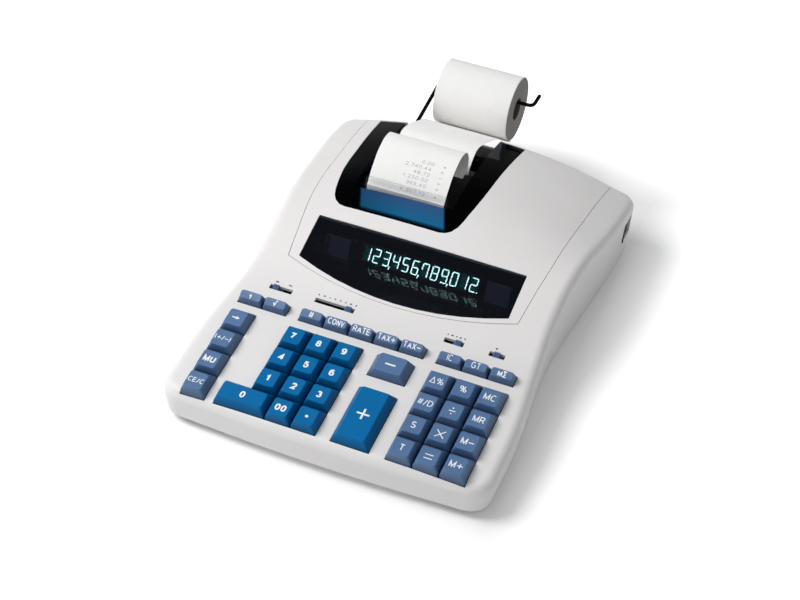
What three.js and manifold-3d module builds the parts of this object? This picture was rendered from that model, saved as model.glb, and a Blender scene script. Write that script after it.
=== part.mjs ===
// Printing calculator for a desk: a wedge casing with forty keys, a display under a dark window,
// a printer under a tinted cover, and a paper roll on a wire behind it.
// Millimetres, +Z up, +X to the user's right, +Y away from the user.
// Pieces are placed from the middle of the front edge on the desk, and the whole group is then
// moved so that the origin lies on the desk under the middle of the calculator and its roll.

import * as THREE from 'three';
import { mergeVertices } from 'three/addons/utils/BufferGeometryUtils.js';
import Module from 'manifold-3d';

const wasm = await Module();
wasm.setup();

// Keyboard across: pitch of the columns, the aisles between their groups, and where each group starts
const columnPitch = 18.2;
const keySpacing = 0.8;
const keyWidth = columnPitch - keySpacing;
const digitAisle = 5.8;
const functionAisle = 8.4;
const memoryAisle = 26.5;
const bankShift = -0.25;
const bankSpan = 8 * columnPitch + functionAisle + memoryAisle;
const leftColumnX = bankShift - bankSpan / 2;
const digitColumnX = leftColumnX + 2 * columnPitch + digitAisle;
const functionColumnX = leftColumnX + 2 * columnPitch + functionAisle;
const memoryColumnX = functionColumnX + 4 * columnPitch + memoryAisle;
const entryKeyWidth = 26.4;
const entryKeyAisle = 10.5;
const entryKeyX = digitColumnX + 2 * columnPitch + keyWidth / 2 + entryKeyAisle + entryKeyWidth / 2;

// Casing outline in plan
const casingDepth = 308;
const sideMargin = 16.8;
const waistNarrowing = 8.5;
const rearFlare = 0.2;
const frontHalfWidth = memoryColumnX + 2 * columnPitch + keyWidth / 2 + sideMargin;
const waistHalfWidth = frontHalfWidth - waistNarrowing;
const rearHalfWidth = frontHalfWidth + rearFlare;
const waistFrom = 45;
const waistAt = 150;
const waistTo = 286;
const cornerRadius = 13;
const frontBow = 4;
const frontBowReach = 70;

// Casing in side view
const partingHeight = 6.5;
const deckFrontHeight = 26.5;
const deckTilt = THREE.MathUtils.degToRad(7);
const creaseAt = 117;
const creaseBlend = 8;
const panelTilt = THREE.MathUtils.degToRad(19);
const humpFrom = 190;
const crestAt = 236;
const crestHeight = 73.6;
const rearTopAt = 302;
const rearTopHeight = 65.3;
const rearSlope = -0.24;
const crownRadius = 332;
const crownFrom = 160;
const crownTo = 250;
const edgeRadius = 7;
const sideDraft = 2.2;
const wall = 2.4;

// Clearances
const runningGap = 0.3;
const keyGap = 0.4;
const seamGap = 0.4;
const overrun = 6;

// Lower casing and what stands in it
const floorUnderside = 2.6;
const floorThickness = 2.4;
const trayTaper = 3;
const footRadius = 7;
const footInset = 20;
const footFrontAt = 24;
const footRearAt = 284;
const postRadius = 4;

// Display window, and the top panel's seam outside it
const windowHalfWidth = 76.8;
const panelFrontCentreAt = 122.6;
const panelCornerAt = 136.9;
const panelCornerBorder = 7.4;
const panelMidBorder = 13.4;
const panelMidAt = 190;
const panelRearBorder = 19.4;
const panelCornerHalfWidth = windowHalfWidth + panelCornerBorder;
const panelMidHalfWidth = windowHalfWidth + panelMidBorder;
const panelRearHalfWidth = windowHalfWidth + panelRearBorder;
const cornerFlare = panelMidHalfWidth - panelCornerHalfWidth;
const panelSkirt = 24;
const windowFrontCentreAt = 125.2;
const windowCornerAt = 139;
const windowBackAt = 173.2;
const lensDrop = 0.2;
const lensThickness = 2;
const tubeEndMargin = 28;
const tubeWidth = 2 * (windowHalfWidth - tubeEndMargin);
const tubeHeight = 23;
const tubeThickness = 6;
const tubeTilt = THREE.MathUtils.degToRad(65);
const tubeAt = 163.5;

// Keyboard, in the frame of the tilted deck
const rowPitch = 19.5;
const bankFront = 5;
const topRowAt = 94.5;
const keyDepth = 19;
const topKeyDepth = 9;
const minusRear = 82.3;
const minusDepth = 18.5;
const plusDepth = 47.2;
const keyHeight = 7;
const skirtTop = 0.8;
const skirtDepth = 3;
const keyCorner = 1.3;
const topSideInset = 2.4;
const topFrontInset = 0.6;
const topRearInset = 5;
const wideFrontInset = 2;
const topRowRearInset = 3;
const entrySideInset = 3.8;
const minusFrontInset = 1.4;
const minusRearInset = 2.3;
const plusFrontInset = 2.2;
const plusRearInset = 3.5;
const keyTravel = 3.5;
const stemSize = 6;
const stemCorner = 0.6;
const stemFootSize = 7.6;
const stemFootHeight = 3;
const guideTop = 8;
const guideThickness = 2;
const guideMargin = 2.6;
const guideBossRadius = 3;
const padGap = 0.5;

// Slide switches, in the frame of the tilted deck
const switchRowAt = 111.2;
const slotDepth = 4;
const knobWidth = 4.2;
const knobHeight = 2.2;
const knobSoleWidth = 8;
const knobSoleDepth = 6.4;
const knobSoleHeight = 1.2;
const printSlot = { from: -85.2, to: -68.5, knob: -80.3 };
const decimalSlot = { from: -51.4, to: -22.6, knob: -26.8 };
const roundingSlot = { from: 42.4, to: 56.3, knob: 52.5 };
const totalSlot = { from: 74.3, to: 85.3, knob: 79.8 };

// Boards
const boardThickness = 1.6;
const keyBoardMargin = 7;
const keyBoardHalfWidth = waistHalfWidth - keyBoardMargin;
const keyBoardFront = 9;
const keyBoardDepth = 154;
const rearBoardMargin = 9;
const rearBoardWidth = 68;
const rearBoardRight = waistHalfWidth - rearBoardMargin;
const rearBoardLeft = rearBoardRight - rearBoardWidth;
const rearBoardFront = 170;
const rearBoardRear = 288;
const rearBoardHeight = 10;
const flatCableWidth = 34;
const flatCableThickness = 1;
const transformerWidth = 46;
const transformerDepth = 44;
const transformerHeight = 36;
const transformerCoreHeight = 22;
const transformerCoreOverhang = 5;

// Paper and its roll
const paperWidth = 58;
const paperThickness = 0.4;
const tapeX = -27.2;
const rollX = -20.3;
const rollAt = 338;
const rollHeight = 70.4;
const rollRadius = 24.4;
const boreRadius = 8;
const leavingDegrees = 235;
const wrapStep = 14;
const supplyReach = 82.5;
const supplyRise = 34.8;
const supplyShares = [[1, 0.77], [0.867, 0.908], [0.715, 1], [0.6, 0.983], [0.479, 0.787], [0.297, 0.273]];
const wrapDegrees = [-43, -65, -88, -111, -134, -157, -180];
const driftFrom = 0.11;
const driftTo = 0.26;
const tapeLead = 4;
const curlDepth = 46;
const curlRise = 20.5;
const curlShares = [
  [0.1, 0.3],
  [0.31, 0.72],
  [0.5, 0.93],
  [0.65, 1],
  [0.82, 0.94],
  [0.94, 0.74],
  [1, 0.4],
  [0.97, 0.12],
  [0.89, 0],
  [0.776, -0.08],
];

// Wire roll holder
const wireRadius = 1.4;
const wireX = -53.2;
const wireElbowX = -53.2;
const wireSocketAt = 287;
const wireSocketDepth = 8;
const wireShoulderHeight = 67.2;
const wireBendRadius = 4;
const wireEndX = 20.6;
const wireHookReach = 4.6;
const wireHookRise = 11.5;

// Printer
const frameHalfWidth = 39;
const framePlate = 2.4;
const frameFront = 186;
const frameRear = 291;
const frameBottom = 17;
const frameTop = 55;
const frameBaseThickness = 2.4;
const paperGuideFront = 211.5;
const paperGuideRear = 251;
const paperGuideDrop = 6.3;
const paperGuideThickness = 1.4;
const paperGuideSteps = [0, 0.2, 0.4, 0.6, 0.8, 1];
const crossBarDepth = 8;
const crossBarHeight = 9;
const rollerRadius = 11;
const rollerAt = 219;
const rollerHeight = 40;
const rollerHalfLength = 33;
const shaftRadius = 2.5;
const drumRadius = 7.6;
const drumAt = 196;
const drumHeight = 45;
const drumRimRadius = 8.4;
const drumRimLength = 3;

// Printer cover and tear bar
const coverX = -28;
const coverFrontAt = 185;
const coverFrontHalfWidth = 42;
const coverShoulderAt = 199;
const coverShoulderHalfWidth = 48.3;
const coverMidAt = 225;
const coverMidHalfWidth = 52.8;
const coverRearHalfWidth = 57;
const slotFrontAt = 204.5;
const slotHalfWidth = 37.2;
const slotSill = 53;
const tearX = -26;
const tearHalfWidth = 30.5;
const tearLegHeight = 15;
const tearRootHeight = 8;
const tearThickness = 1.2;
const tearReach = 3.6;
const tearRise = 6.6;

// Power switch in the right wall
const rockerAt = 287;
const rockerHeight = 31;
const rockerLength = 17;
const rockerWidth = 16;
const rockerDepth = 7;
const rockerProud = 1.5;
const rockerInset = 3;
const rockerTilt = THREE.MathUtils.degToRad(8);
const rockerBackLength = 9;
const pocketWall = 1.6;
const pocketDepth = 14;

// Mesh detail, as counts
const sectionShares = [0.22, 0.44, 0.64, 0.82, 1];
const edgeSteps = 4;
const endSteps = 4;
const bodySteps = 22;
const roundSides = 24;
const smallSides = 12;
const rollSides = 48;
const rollerSides = 16;
const wireSteps = 34;
const arcSteps = 10;
const paperSteps = 60;

const half = (length) => length / 2;
const overallDepth = rollAt + rollRadius;

// Closed solids from geometry, and back

function toSolid(geometry) {
  const bare = geometry.clone();
  bare.deleteAttribute('normal');
  bare.deleteAttribute('uv');
  const merged = mergeVertices(bare);
  return new wasm.Manifold(new wasm.Mesh({
    numProp: 3,
    vertProperties: new Float32Array(merged.attributes.position.array),
    triVerts: new Uint32Array(merged.index.array),
  }));
}

function toGeometry(solid) {
  const mesh = solid.getMesh();
  const geometry = new THREE.BufferGeometry();
  geometry.setAttribute('position', new THREE.BufferAttribute(mesh.vertProperties, 3));
  geometry.setIndex(new THREE.BufferAttribute(mesh.triVerts, 1));
  geometry.computeVertexNormals();
  return geometry;
}

const cut = (body, tools) => toGeometry(
  tools.reduce((left, tool) => left.subtract(toSolid(tool)), toSolid(body)),
);

const join = (pieces) => toGeometry(
  pieces.slice(1).reduce((sum, piece) => sum.add(toSolid(piece)), toSolid(pieces[0])),
);

const common = (first, second) => toGeometry(toSolid(first).intersect(toSolid(second)));

// A skin through rings of equal length, closed at both ends.
// Each ring runs anticlockwise when seen from the last ring towards the first.
function loft(rings, endFaces) {
  const count = rings[0].length;
  const positions = rings.flat().flatMap((point) => [point.x, point.y, point.z]);
  const index = [];
  for (let ring = 0; ring < rings.length - 1; ring += 1) {
    for (let side = 0; side < count; side += 1) {
      const here = ring * count + side;
      const next = ring * count + ((side + 1) % count);
      index.push(here, next, next + count);
      index.push(here, next + count, here + count);
    }
  }
  const last = (rings.length - 1) * count;
  for (const [a, b, c] of endFaces) {
    index.push(a, c, b);
    index.push(last + a, last + b, last + c);
  }
  const geometry = new THREE.BufferGeometry();
  geometry.setAttribute('position', new THREE.Float32BufferAttribute(positions, 3));
  geometry.setIndex(index);
  geometry.computeVertexNormals();
  return geometry;
}

const fanFaces = (count) => Array.from({ length: count - 2 }, (_, i) => [0, i + 1, i + 2]);

// A block between two corners
function block(low, high) {
  const size = new THREE.Vector3().subVectors(high, low);
  const centre = new THREE.Vector3().addVectors(high, low).multiplyScalar(0.5);
  return new THREE.BoxGeometry(size.x, size.y, size.z).translate(centre.x, centre.y, centre.z);
}

const blockOf = (x0, x1, y0, y1, z0, z1) => block(
  new THREE.Vector3(x0, y0, z0),
  new THREE.Vector3(x1, y1, z1),
);

// An upright prism over an outline in plan
function prism(outline, bottom, top) {
  const shape = new THREE.Shape(outline);
  const geometry = new THREE.ExtrudeGeometry(shape, { depth: top - bottom, bevelEnabled: false });
  return geometry.translate(0, 0, bottom);
}

const upright = (radius, x, y, bottom, top, sides = smallSides) => (
  new THREE.CylinderGeometry(radius, radius, top - bottom, sides)
    .rotateX(Math.PI / 2)
    .translate(x, y, half(top + bottom))
);

const crosswise = (radius, x0, x1, y, z, sides = roundSides) => (
  new THREE.CylinderGeometry(radius, radius, x1 - x0, sides)
    .rotateZ(Math.PI / 2)
    .translate(half(x0 + x1), y, z)
);

// Shape of the casing's upper surface

function smooth(value, from, to) {
  const t = THREE.MathUtils.clamp((value - from) / (to - from), 0, 1);
  return t * t * (3 - 2 * t);
}

// Height of a curve that leaves one point and reaches another with given slopes
function bridge(y, y0, z0, slope0, y1, z1, slope1) {
  const span = y1 - y0;
  const t = (y - y0) / span;
  const t2 = t * t;
  const t3 = t2 * t;
  return (2 * t3 - 3 * t2 + 1) * z0 + (t3 - 2 * t2 + t) * span * slope0
    + (3 * t2 - 2 * t3) * z1 + (t3 - t2) * span * slope1;
}

function panelHeight(y) {
  const t = THREE.MathUtils.clamp((y - creaseAt) / creaseBlend, -1, 1);
  const turned = Math.max(y - creaseAt - creaseBlend, 0) + creaseBlend * ((t + 1) ** 2) / 4;
  const turn = Math.tan(panelTilt) - Math.tan(deckTilt);
  return deckFrontHeight + y * Math.tan(deckTilt) + turn * turned;
}

function ridgeHeight(y) {
  if (y < humpFrom) return panelHeight(y);
  const humpHeight = panelHeight(humpFrom);
  if (y < crestAt) {
    return bridge(y, humpFrom, humpHeight, Math.tan(panelTilt), crestAt, crestHeight, 0);
  }
  const rearY = Math.min(y, rearTopAt);
  const beyond = (y - rearY) * rearSlope;
  return beyond + bridge(rearY, crestAt, crestHeight, 0, rearTopAt, rearTopHeight, rearSlope);
}

const surfaceHeight = (x, y) => (
  ridgeHeight(y) - smooth(y, crownFrom, crownTo) * x * x / (2 * crownRadius)
);

function halfWidthAt(y) {
  const narrowed = (frontHalfWidth - waistHalfWidth) * smooth(y, waistFrom, waistAt);
  const widened = (rearHalfWidth - waistHalfWidth) * smooth(y, waistAt, waistTo);
  return frontHalfWidth - narrowed + widened;
}

// How far a quarter round of a given radius still falls short at a distance from its end
function roundOff(distance, radius) {
  const inside = Math.max(radius - distance, 0);
  return radius - Math.sqrt(Math.max(radius * radius - inside * inside, 0));
}

// One cross-section of the casing body, drawn in by an inset, from a bottom height to the surface
function section(station, inset, bottom) {
  const front = inset;
  const rear = casingDepth - inset;
  const y = front + (rear - front) * station;
  const fromEnd = Math.min(y - front, rear - y);
  const corner = cornerRadius - inset;
  const edge = edgeRadius - inset;
  const width = halfWidthAt(y) - inset - roundOff(fromEnd, corner);
  const shoulder = width - edge;
  const drop = inset + roundOff(fromEnd, edge);
  const top = [];
  const base = [];
  const place = (x, z) => {
    const bow = frontBow * ((x / frontHalfWidth) ** 2) * (1 - smooth(y, 0, frontBowReach));
    return new THREE.Vector3(x, y + bow, z);
  };
  const columns = [];
  for (let step = 0; step <= edgeSteps; step += 1) {
    const angle = (step / edgeSteps) * Math.PI / 2;
    columns.push({ x: shoulder + edge * Math.cos(angle), rise: edge * Math.sin(angle) - edge });
  }
  for (const share of [...sectionShares].reverse().slice(1)) {
    columns.push({ x: shoulder * share, rise: 0 });
  }
  const edgeZ = surfaceHeight(shoulder, y) - drop;
  const right = columns.map(({ x, rise }) => {
    const z = rise < 0 ? edgeZ + rise : surfaceHeight(x, y) - drop;
    return { x, z };
  });
  const baseShare = (width - sideDraft) / width;
  const all = [
    ...right,
    { x: 0, z: surfaceHeight(0, y) - drop },
    ...right.toReversed().map(({ x, z }) => ({ x: -x, z })),
  ];
  for (const { x, z } of all) {
    top.push(place(x, z));
    base.push(place(x * baseShare, bottom));
  }
  return [...top, ...base.reverse()];
}

function stations() {
  const share = cornerRadius / casingDepth;
  const ends = Array.from({ length: endSteps }, (_, i) => (
    share * (1 - Math.cos((i / endSteps) * Math.PI / 2))
  ));
  const middle = Array.from({ length: bodySteps + 1 }, (_, i) => (
    share + (1 - 2 * share) * (i / bodySteps)
  ));
  return [...ends, ...middle, ...ends.map((end) => 1 - end).reverse()];
}

// Solid body of the casing down to a bottom height, drawn in by an inset, from back to front
function casingBody(inset, bottom) {
  const rings = stations().reverse().map((station) => section(station, inset, bottom));
  const columns = rings[0].length / 2;
  const faces = [];
  for (let i = 0; i < columns - 1; i += 1) {
    const below = 2 * columns - 1 - i;
    faces.push([i, i + 1, below - 1]);
    faces.push([i, below - 1, below]);
  }
  return loft(rings, faces);
}

// Outlines in plan

function arcPoints(halfWidth, cornerY, centreY, steps) {
  return Array.from({ length: steps + 1 }, (_, i) => {
    const share = 2 * (i / steps) - 1;
    return new THREE.Vector2(halfWidth * share, centreY + (cornerY - centreY) * share * share);
  });
}

function panelOutline(gap) {
  const side = new THREE.SplineCurve([
    new THREE.Vector2(panelCornerHalfWidth - gap, panelCornerAt + gap),
    new THREE.Vector2(panelCornerHalfWidth + half(cornerFlare) - gap, half(panelCornerAt + panelMidAt)),
    new THREE.Vector2(panelMidHalfWidth - gap, panelMidAt),
    new THREE.Vector2(half(panelMidHalfWidth + panelRearHalfWidth) - gap, half(panelMidAt + casingDepth)),
    new THREE.Vector2(panelRearHalfWidth - gap, casingDepth + overrun),
  ]).getPoints(arcSteps).slice(1);
  const front = arcPoints(
    panelCornerHalfWidth - gap,
    panelCornerAt + gap,
    panelFrontCentreAt + gap,
    arcSteps,
  );
  const left = side.toReversed().map((point) => new THREE.Vector2(-point.x, point.y));
  return [...front, ...side, ...left];
}

function windowOutline(gap) {
  const front = arcPoints(
    windowHalfWidth - gap,
    windowCornerAt + gap,
    windowFrontCentreAt + gap,
    arcSteps,
  );
  return [
    ...front,
    new THREE.Vector2(windowHalfWidth - gap, windowBackAt - gap),
    new THREE.Vector2(-windowHalfWidth + gap, windowBackAt - gap),
  ];
}

function coverOutline(gap) {
  const frontY = coverFrontAt + gap;
  const rearY = rearTopAt - gap;
  const side = new THREE.SplineCurve([
    new THREE.Vector2(coverShoulderHalfWidth - gap, coverShoulderAt),
    new THREE.Vector2(coverMidHalfWidth - gap, coverMidAt),
    new THREE.Vector2(half(coverMidHalfWidth + coverRearHalfWidth) - gap, half(coverMidAt + rearY)),
    new THREE.Vector2(coverRearHalfWidth - gap, rearY),
  ]).getPoints(arcSteps);
  const corner = new THREE.QuadraticBezierCurve(
    new THREE.Vector2(coverFrontHalfWidth - edgeRadius, frontY),
    new THREE.Vector2(coverFrontHalfWidth + half(edgeRadius) - gap, frontY),
    new THREE.Vector2(coverShoulderHalfWidth - gap, coverShoulderAt),
  ).getPoints(edgeSteps).slice(0, -1);
  const right = [...corner, ...side];
  const left = right.toReversed().map((point) => new THREE.Vector2(-point.x, point.y));
  return [...right, ...left].map((point) => point.add(new THREE.Vector2(coverX, 0)));
}

// Tilted keyboard frame: X across, Y along the deck, Z square to it, 0 on the deck's surface

const deckFrame = new THREE.Matrix4()
  .makeTranslation(0, 0, deckFrontHeight)
  .multiply(new THREE.Matrix4().makeRotationX(deckTilt));

const onDeck = (geometry) => geometry.applyMatrix4(deckFrame);

const rowAt = (row) => bankFront + rowPitch * (row + 0.5);

const normalKey = {
  width: keyWidth,
  depth: keyDepth,
  sideInset: topSideInset,
  frontInset: topFrontInset,
  rearInset: topRearInset,
};
const topKey = {
  ...normalKey,
  depth: topKeyDepth,
  sideInset: half(topSideInset),
  rearInset: topRowRearInset,
};
const wideKey = { ...normalKey, width: keyWidth + columnPitch, frontInset: wideFrontInset };
const minusKey = {
  width: entryKeyWidth,
  depth: minusDepth,
  sideInset: entrySideInset,
  frontInset: minusFrontInset,
  rearInset: minusRearInset,
};
const plusKey = {
  ...minusKey,
  depth: plusDepth,
  frontInset: plusFrontInset,
  rearInset: plusRearInset,
};

// Keys in rows from the front, each row from the left
const digitRows = [
  ['key_00', 'key_point'],
  ['key_1', 'key_2', 'key_3'],
  ['key_4', 'key_5', 'key_6'],
  ['key_7', 'key_8', 'key_9'],
];
const memoryRows = [
  ['key_total', 'key_equals', 'key_m_plus'],
  ['key_subtotal', 'key_multiply', 'key_m_minus'],
  ['key_hash', 'key_divide', 'key_mr'],
  ['key_delta_percent', 'key_percent', 'key_mc'],
];
const leftRows = [['key_clear'], ['key_margin'], ['key_sign'], ['key_backspace']];
const functionRow = ['key_nonadd', 'key_convert', 'key_rate', 'key_tax_plus', 'key_tax_minus'];
const pairRow = ['key_feed', 'key_root'];
const tripleRow = ['key_ic', 'key_gt', 'key_m_sigma'];

function rowKeys(names, x, y, type) {
  return names.map((name, column) => ({ name, x: x + column * columnPitch, y, type }));
}

const keys = [
  ...digitRows.flatMap((names, row) => (
    rowKeys(names, digitColumnX + (3 - names.length) * columnPitch, rowAt(row), normalKey)
  )),
  { name: 'key_0', x: digitColumnX - half(columnPitch), y: rowAt(0), type: wideKey },
  ...memoryRows.flatMap((names, row) => rowKeys(names, memoryColumnX, rowAt(row), normalKey)),
  ...leftRows.flatMap((names, row) => rowKeys(names, leftColumnX, rowAt(row), normalKey)),
  ...rowKeys(functionRow, functionColumnX, topRowAt, topKey),
  ...rowKeys(pairRow, leftColumnX, topRowAt, topKey),
  ...rowKeys(tripleRow, memoryColumnX, topRowAt, topKey),
  { name: 'key_minus', x: entryKeyX, y: minusRear - half(minusDepth), type: minusKey },
  { name: 'key_plus', x: entryKeyX, y: rowAt(0) - half(keyDepth) + half(plusDepth), type: plusKey },
];

// Rectangle with cut corners, anticlockwise from above, at one height
function cutRing(left, right, front, rear, corner, z) {
  return [
    new THREE.Vector3(right - corner, front, z),
    new THREE.Vector3(right, front + corner, z),
    new THREE.Vector3(right, rear - corner, z),
    new THREE.Vector3(right - corner, rear, z),
    new THREE.Vector3(left + corner, rear, z),
    new THREE.Vector3(left, rear - corner, z),
    new THREE.Vector3(left, front + corner, z),
    new THREE.Vector3(left + corner, front, z),
  ];
}

const squareRing = (size, corner, z) => (
  cutRing(-half(size), half(size), -half(size), half(size), corner, z)
);

function keyGeometry({ width, depth, sideInset, frontInset, rearInset }) {
  const right = half(width);
  const rear = half(depth);
  const footTop = -(guideTop + guideThickness + runningGap);
  return loft([
    squareRing(stemFootSize, stemCorner, footTop - stemFootHeight),
    squareRing(stemFootSize, stemCorner, footTop),
    squareRing(stemSize, stemCorner, footTop),
    squareRing(stemSize, stemCorner, -skirtDepth),
    cutRing(-right, right, -rear, rear, keyCorner, -skirtDepth),
    cutRing(-right, right, -rear, rear, keyCorner, skirtTop),
    cutRing(
      -right + sideInset,
      right - sideInset,
      -rear + frontInset,
      rear - rearInset,
      keyCorner,
      keyHeight,
    ),
  ], fanFaces(8));
}

// Openings of the deck: one for each bank of keys, and one for each slide switch
function bankCut(bank) {
  const left = Math.min(...bank.map((key) => key.x - half(key.type.width)));
  const right = Math.max(...bank.map((key) => key.x + half(key.type.width)));
  const front = Math.min(...bank.map((key) => key.y - half(key.type.depth)));
  const rear = Math.max(...bank.map((key) => key.y + half(key.type.depth)));
  return onDeck(blockOf(
    left - keyGap,
    right + keyGap,
    front - keyGap,
    rear + keyGap,
    -wall - overrun,
    keyHeight,
  ));
}

const keysNamed = (names) => keys.filter((key) => names.includes(key.name));

const slots = {
  slider_print: printSlot,
  slider_decimal: decimalSlot,
  slider_rounding: roundingSlot,
  slider_total: totalSlot,
};

const slotCut = ({ from, to }) => onDeck(blockOf(
  from,
  to,
  switchRowAt - half(slotDepth),
  switchRowAt + half(slotDepth),
  -wall - overrun,
  overrun,
));

const deckCuts = () => [
  bankCut(keysNamed(digitRows.flat())),
  bankCut(keysNamed(['key_0'])),
  bankCut(keysNamed(memoryRows.flat())),
  bankCut(keysNamed(leftRows.flat())),
  bankCut(keysNamed(functionRow)),
  bankCut(keysNamed(pairRow)),
  bankCut(keysNamed(tripleRow)),
  bankCut(keysNamed(['key_minus'])),
  bankCut(keysNamed(['key_plus'])),
  ...Object.values(slots).map(slotCut),
];

// Bosses under the deck that carry the guide plate, between the banks
const bossPlaces = () => {
  const leftAisle = leftColumnX + columnPitch;
  const middleAisle = digitColumnX + 2 * columnPitch + keyWidth - half(keyGap);
  const rightAisle = half(entryKeyX + half(entryKeyWidth) + memoryColumnX - half(keyWidth));
  const rearAisle = half(rowAt(3) + half(keyDepth) + topRowAt - half(topKeyDepth));
  return [
    [leftAisle, rowAt(2)],
    [leftAisle, rearAisle],
    [middleAisle, rearAisle],
    [rightAisle, rowAt(0)],
    [rightAisle, rowAt(3)],
  ];
};

const guideBoss = ([x, y]) => onDeck(upright(guideBossRadius, x, y, -guideTop + runningGap, -half(wall)));

// Shell of the whole top, before it is parted into casing and panel
const shell = cut(
  casingBody(0, partingHeight),
  [casingBody(wall, partingHeight - overrun)],
);

const panelPrism = (gap) => prism(
  panelOutline(gap),
  rearTopHeight - panelSkirt,
  crestHeight + overrun,
);

// Power switch pocket on the inner side of the right wall
const wallX = () => halfWidthAt(rockerAt);

function pocket() {
  const outer = blockOf(
    wallX() - pocketDepth,
    wallX() - half(wall),
    rockerAt - half(rockerLength) - runningGap - pocketWall,
    rockerAt + half(rockerLength) + runningGap + pocketWall,
    rockerHeight - half(rockerWidth) - runningGap - pocketWall,
    rockerHeight + half(rockerWidth) + runningGap + pocketWall,
  );
  return outer;
}

const pocketCut = () => blockOf(
  wallX() - pocketDepth + pocketWall,
  wallX() + overrun,
  rockerAt - half(rockerLength) - runningGap,
  rockerAt + half(rockerLength) + runningGap,
  rockerHeight - half(rockerWidth) - runningGap,
  rockerHeight + half(rockerWidth) + runningGap,
);

function upperCasing() {
  const withBosses = join([shell, pocket(), ...bossPlaces().map(guideBoss)]);
  return cut(withBosses, [panelPrism(0), pocketCut(), ...deckCuts()]);
}

function topPanel() {
  const piece = common(shell, panelPrism(seamGap));
  return cut(piece, [
    prism(windowOutline(0), partingHeight, crestHeight + overrun),
    prism(coverOutline(0), partingHeight, crestHeight + overrun),
    paperSlot(),
  ]);
}

// Way for the paper, open at the back and above its sill
function paperSlot() {
  return blockOf(
    coverX - slotHalfWidth,
    coverX + slotHalfWidth,
    slotFrontAt,
    casingDepth + overrun,
    slotSill,
    crestHeight + overrun,
  );
}

// Lower casing: a tray with feet, posts for the boards and posts for the printer

function feetPlaces() {
  const places = [];
  for (const y of [footFrontAt, footRearAt]) {
    for (const side of [-1, 1]) {
      places.push([side * (halfWidthAt(y) - footInset), y]);
    }
  }
  return places;
}

const printerPosts = () => [-1, 1].flatMap((side) => (
  [frameFront + half(crossBarDepth), frameRear - half(crossBarDepth)].map((y) => (
    [coverX + side * half(frameHalfWidth), y]
  ))
));

const rearBoardPosts = () => [rearBoardLeft + postRadius, rearBoardRight - postRadius].flatMap((x) => (
  [rearBoardFront + postRadius, rearBoardRear - postRadius].map((y) => [x, y])
));

const boardUnderside = () => keyTravel + guideTop + guideThickness + runningGap + stemFootHeight
  + padGap + boardThickness;

function keyBoardPosts() {
  const rearY = keyBoardFront + keyBoardDepth - 2 * postRadius;
  return [-1, 1].flatMap((side) => [keyBoardFront + 2 * postRadius, rearY].map((y) => {
    const x = side * (keyBoardHalfWidth - 2 * postRadius);
    const top = new THREE.Vector3(x, y, -boardUnderside() - runningGap).applyMatrix4(deckFrame);
    return { x, y: top.y, top: top.z - postRadius * Math.tan(deckTilt) };
  }));
}

function trayBody(inset, bottom, top) {
  const low = (ring) => ring.map((point) => {
    const share = 1 - trayTaper / frontHalfWidth;
    const middle = half(casingDepth);
    const y = middle + (point.y - middle) * (1 - trayTaper / middle);
    return new THREE.Vector3(point.x * share, y, bottom);
  });
  const rim = stations().map((station) => section(station, inset, top));
  const count = rim[0].length / 2;
  const outline = [
    ...rim.map((ring) => ring[count].clone()),
    ...rim.map((ring) => ring[2 * count - 1].clone()).reverse(),
  ].map((point) => new THREE.Vector3(point.x, point.y, top)).reverse();
  return loft([low(outline), outline], outlineFaces(outline));
}

function outlineFaces(ring) {
  return THREE.ShapeUtils.triangulateShape(ring.map((point) => new THREE.Vector2(point.x, point.y)), []);
}

function lowerCasing() {
  const floorTop = floorUnderside + floorThickness;
  const rimTop = partingHeight - runningGap;
  const tray = cut(
    trayBody(0, floorUnderside, rimTop),
    [trayBody(wall, floorTop, rimTop + overrun)],
  );
  const feet = feetPlaces().map(([x, y]) => upright(footRadius, x, y, 0, floorTop, roundSides));
  const printer = printerPosts().map(([x, y]) => (
    upright(postRadius, x, y, floorUnderside, frameBottom - runningGap)
  ));
  const rearBoard = rearBoardPosts().map(([x, y]) => (
    upright(postRadius, x, y, floorUnderside, rearBoardHeight - runningGap)
  ));
  const keyBoard = keyBoardPosts().map(({ x, y, top }) => upright(postRadius, x, y, floorUnderside, top));
  return join([tray, ...feet, ...printer, ...rearBoard, ...keyBoard]);
}

// Display window and the glass tube under it

const lens = () => common(
  cut(casingBody(lensDrop, partingHeight), [casingBody(lensDrop + lensThickness, partingHeight - overrun)]),
  prism(windowOutline(half(seamGap)), partingHeight + overrun, crestHeight),
);

const tubeFoot = () => new THREE.Vector3(0, tubeAt, boardTopAt(tubeAt) + runningGap);

function boardTopAt(y) {
  const square = boardUnderside() - boardThickness;
  return deckFrontHeight + y * Math.tan(deckTilt) - square / Math.cos(deckTilt);
}

function displayTube() {
  const reach = half(tubeHeight) * Math.sin(tubeTilt) + half(tubeThickness) * Math.cos(tubeTilt);
  const foot = tubeFoot();
  return new THREE.BoxGeometry(tubeWidth, tubeHeight, tubeThickness)
    .rotateX(tubeTilt)
    .translate(0, foot.y, foot.z + reach);
}

// Guide plate and boards

function guidePlate() {
  const left = leftColumnX - half(keyWidth) - guideMargin;
  const right = memoryColumnX + 2 * columnPitch + half(keyWidth) + guideMargin;
  const front = rowAt(0) - half(keyDepth);
  const rear = topRowAt + half(topKeyDepth);
  const plate = blockOf(left, right, front, rear, -guideTop - guideThickness, -guideTop);
  const hole = half(stemSize) + runningGap;
  const holes = keys.map(({ x, y }) => blockOf(
    x - hole,
    x + hole,
    y - hole,
    y + hole,
    -guideTop - guideThickness - overrun,
    -guideTop + overrun,
  ));
  return onDeck(cut(plate, holes));
}

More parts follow.
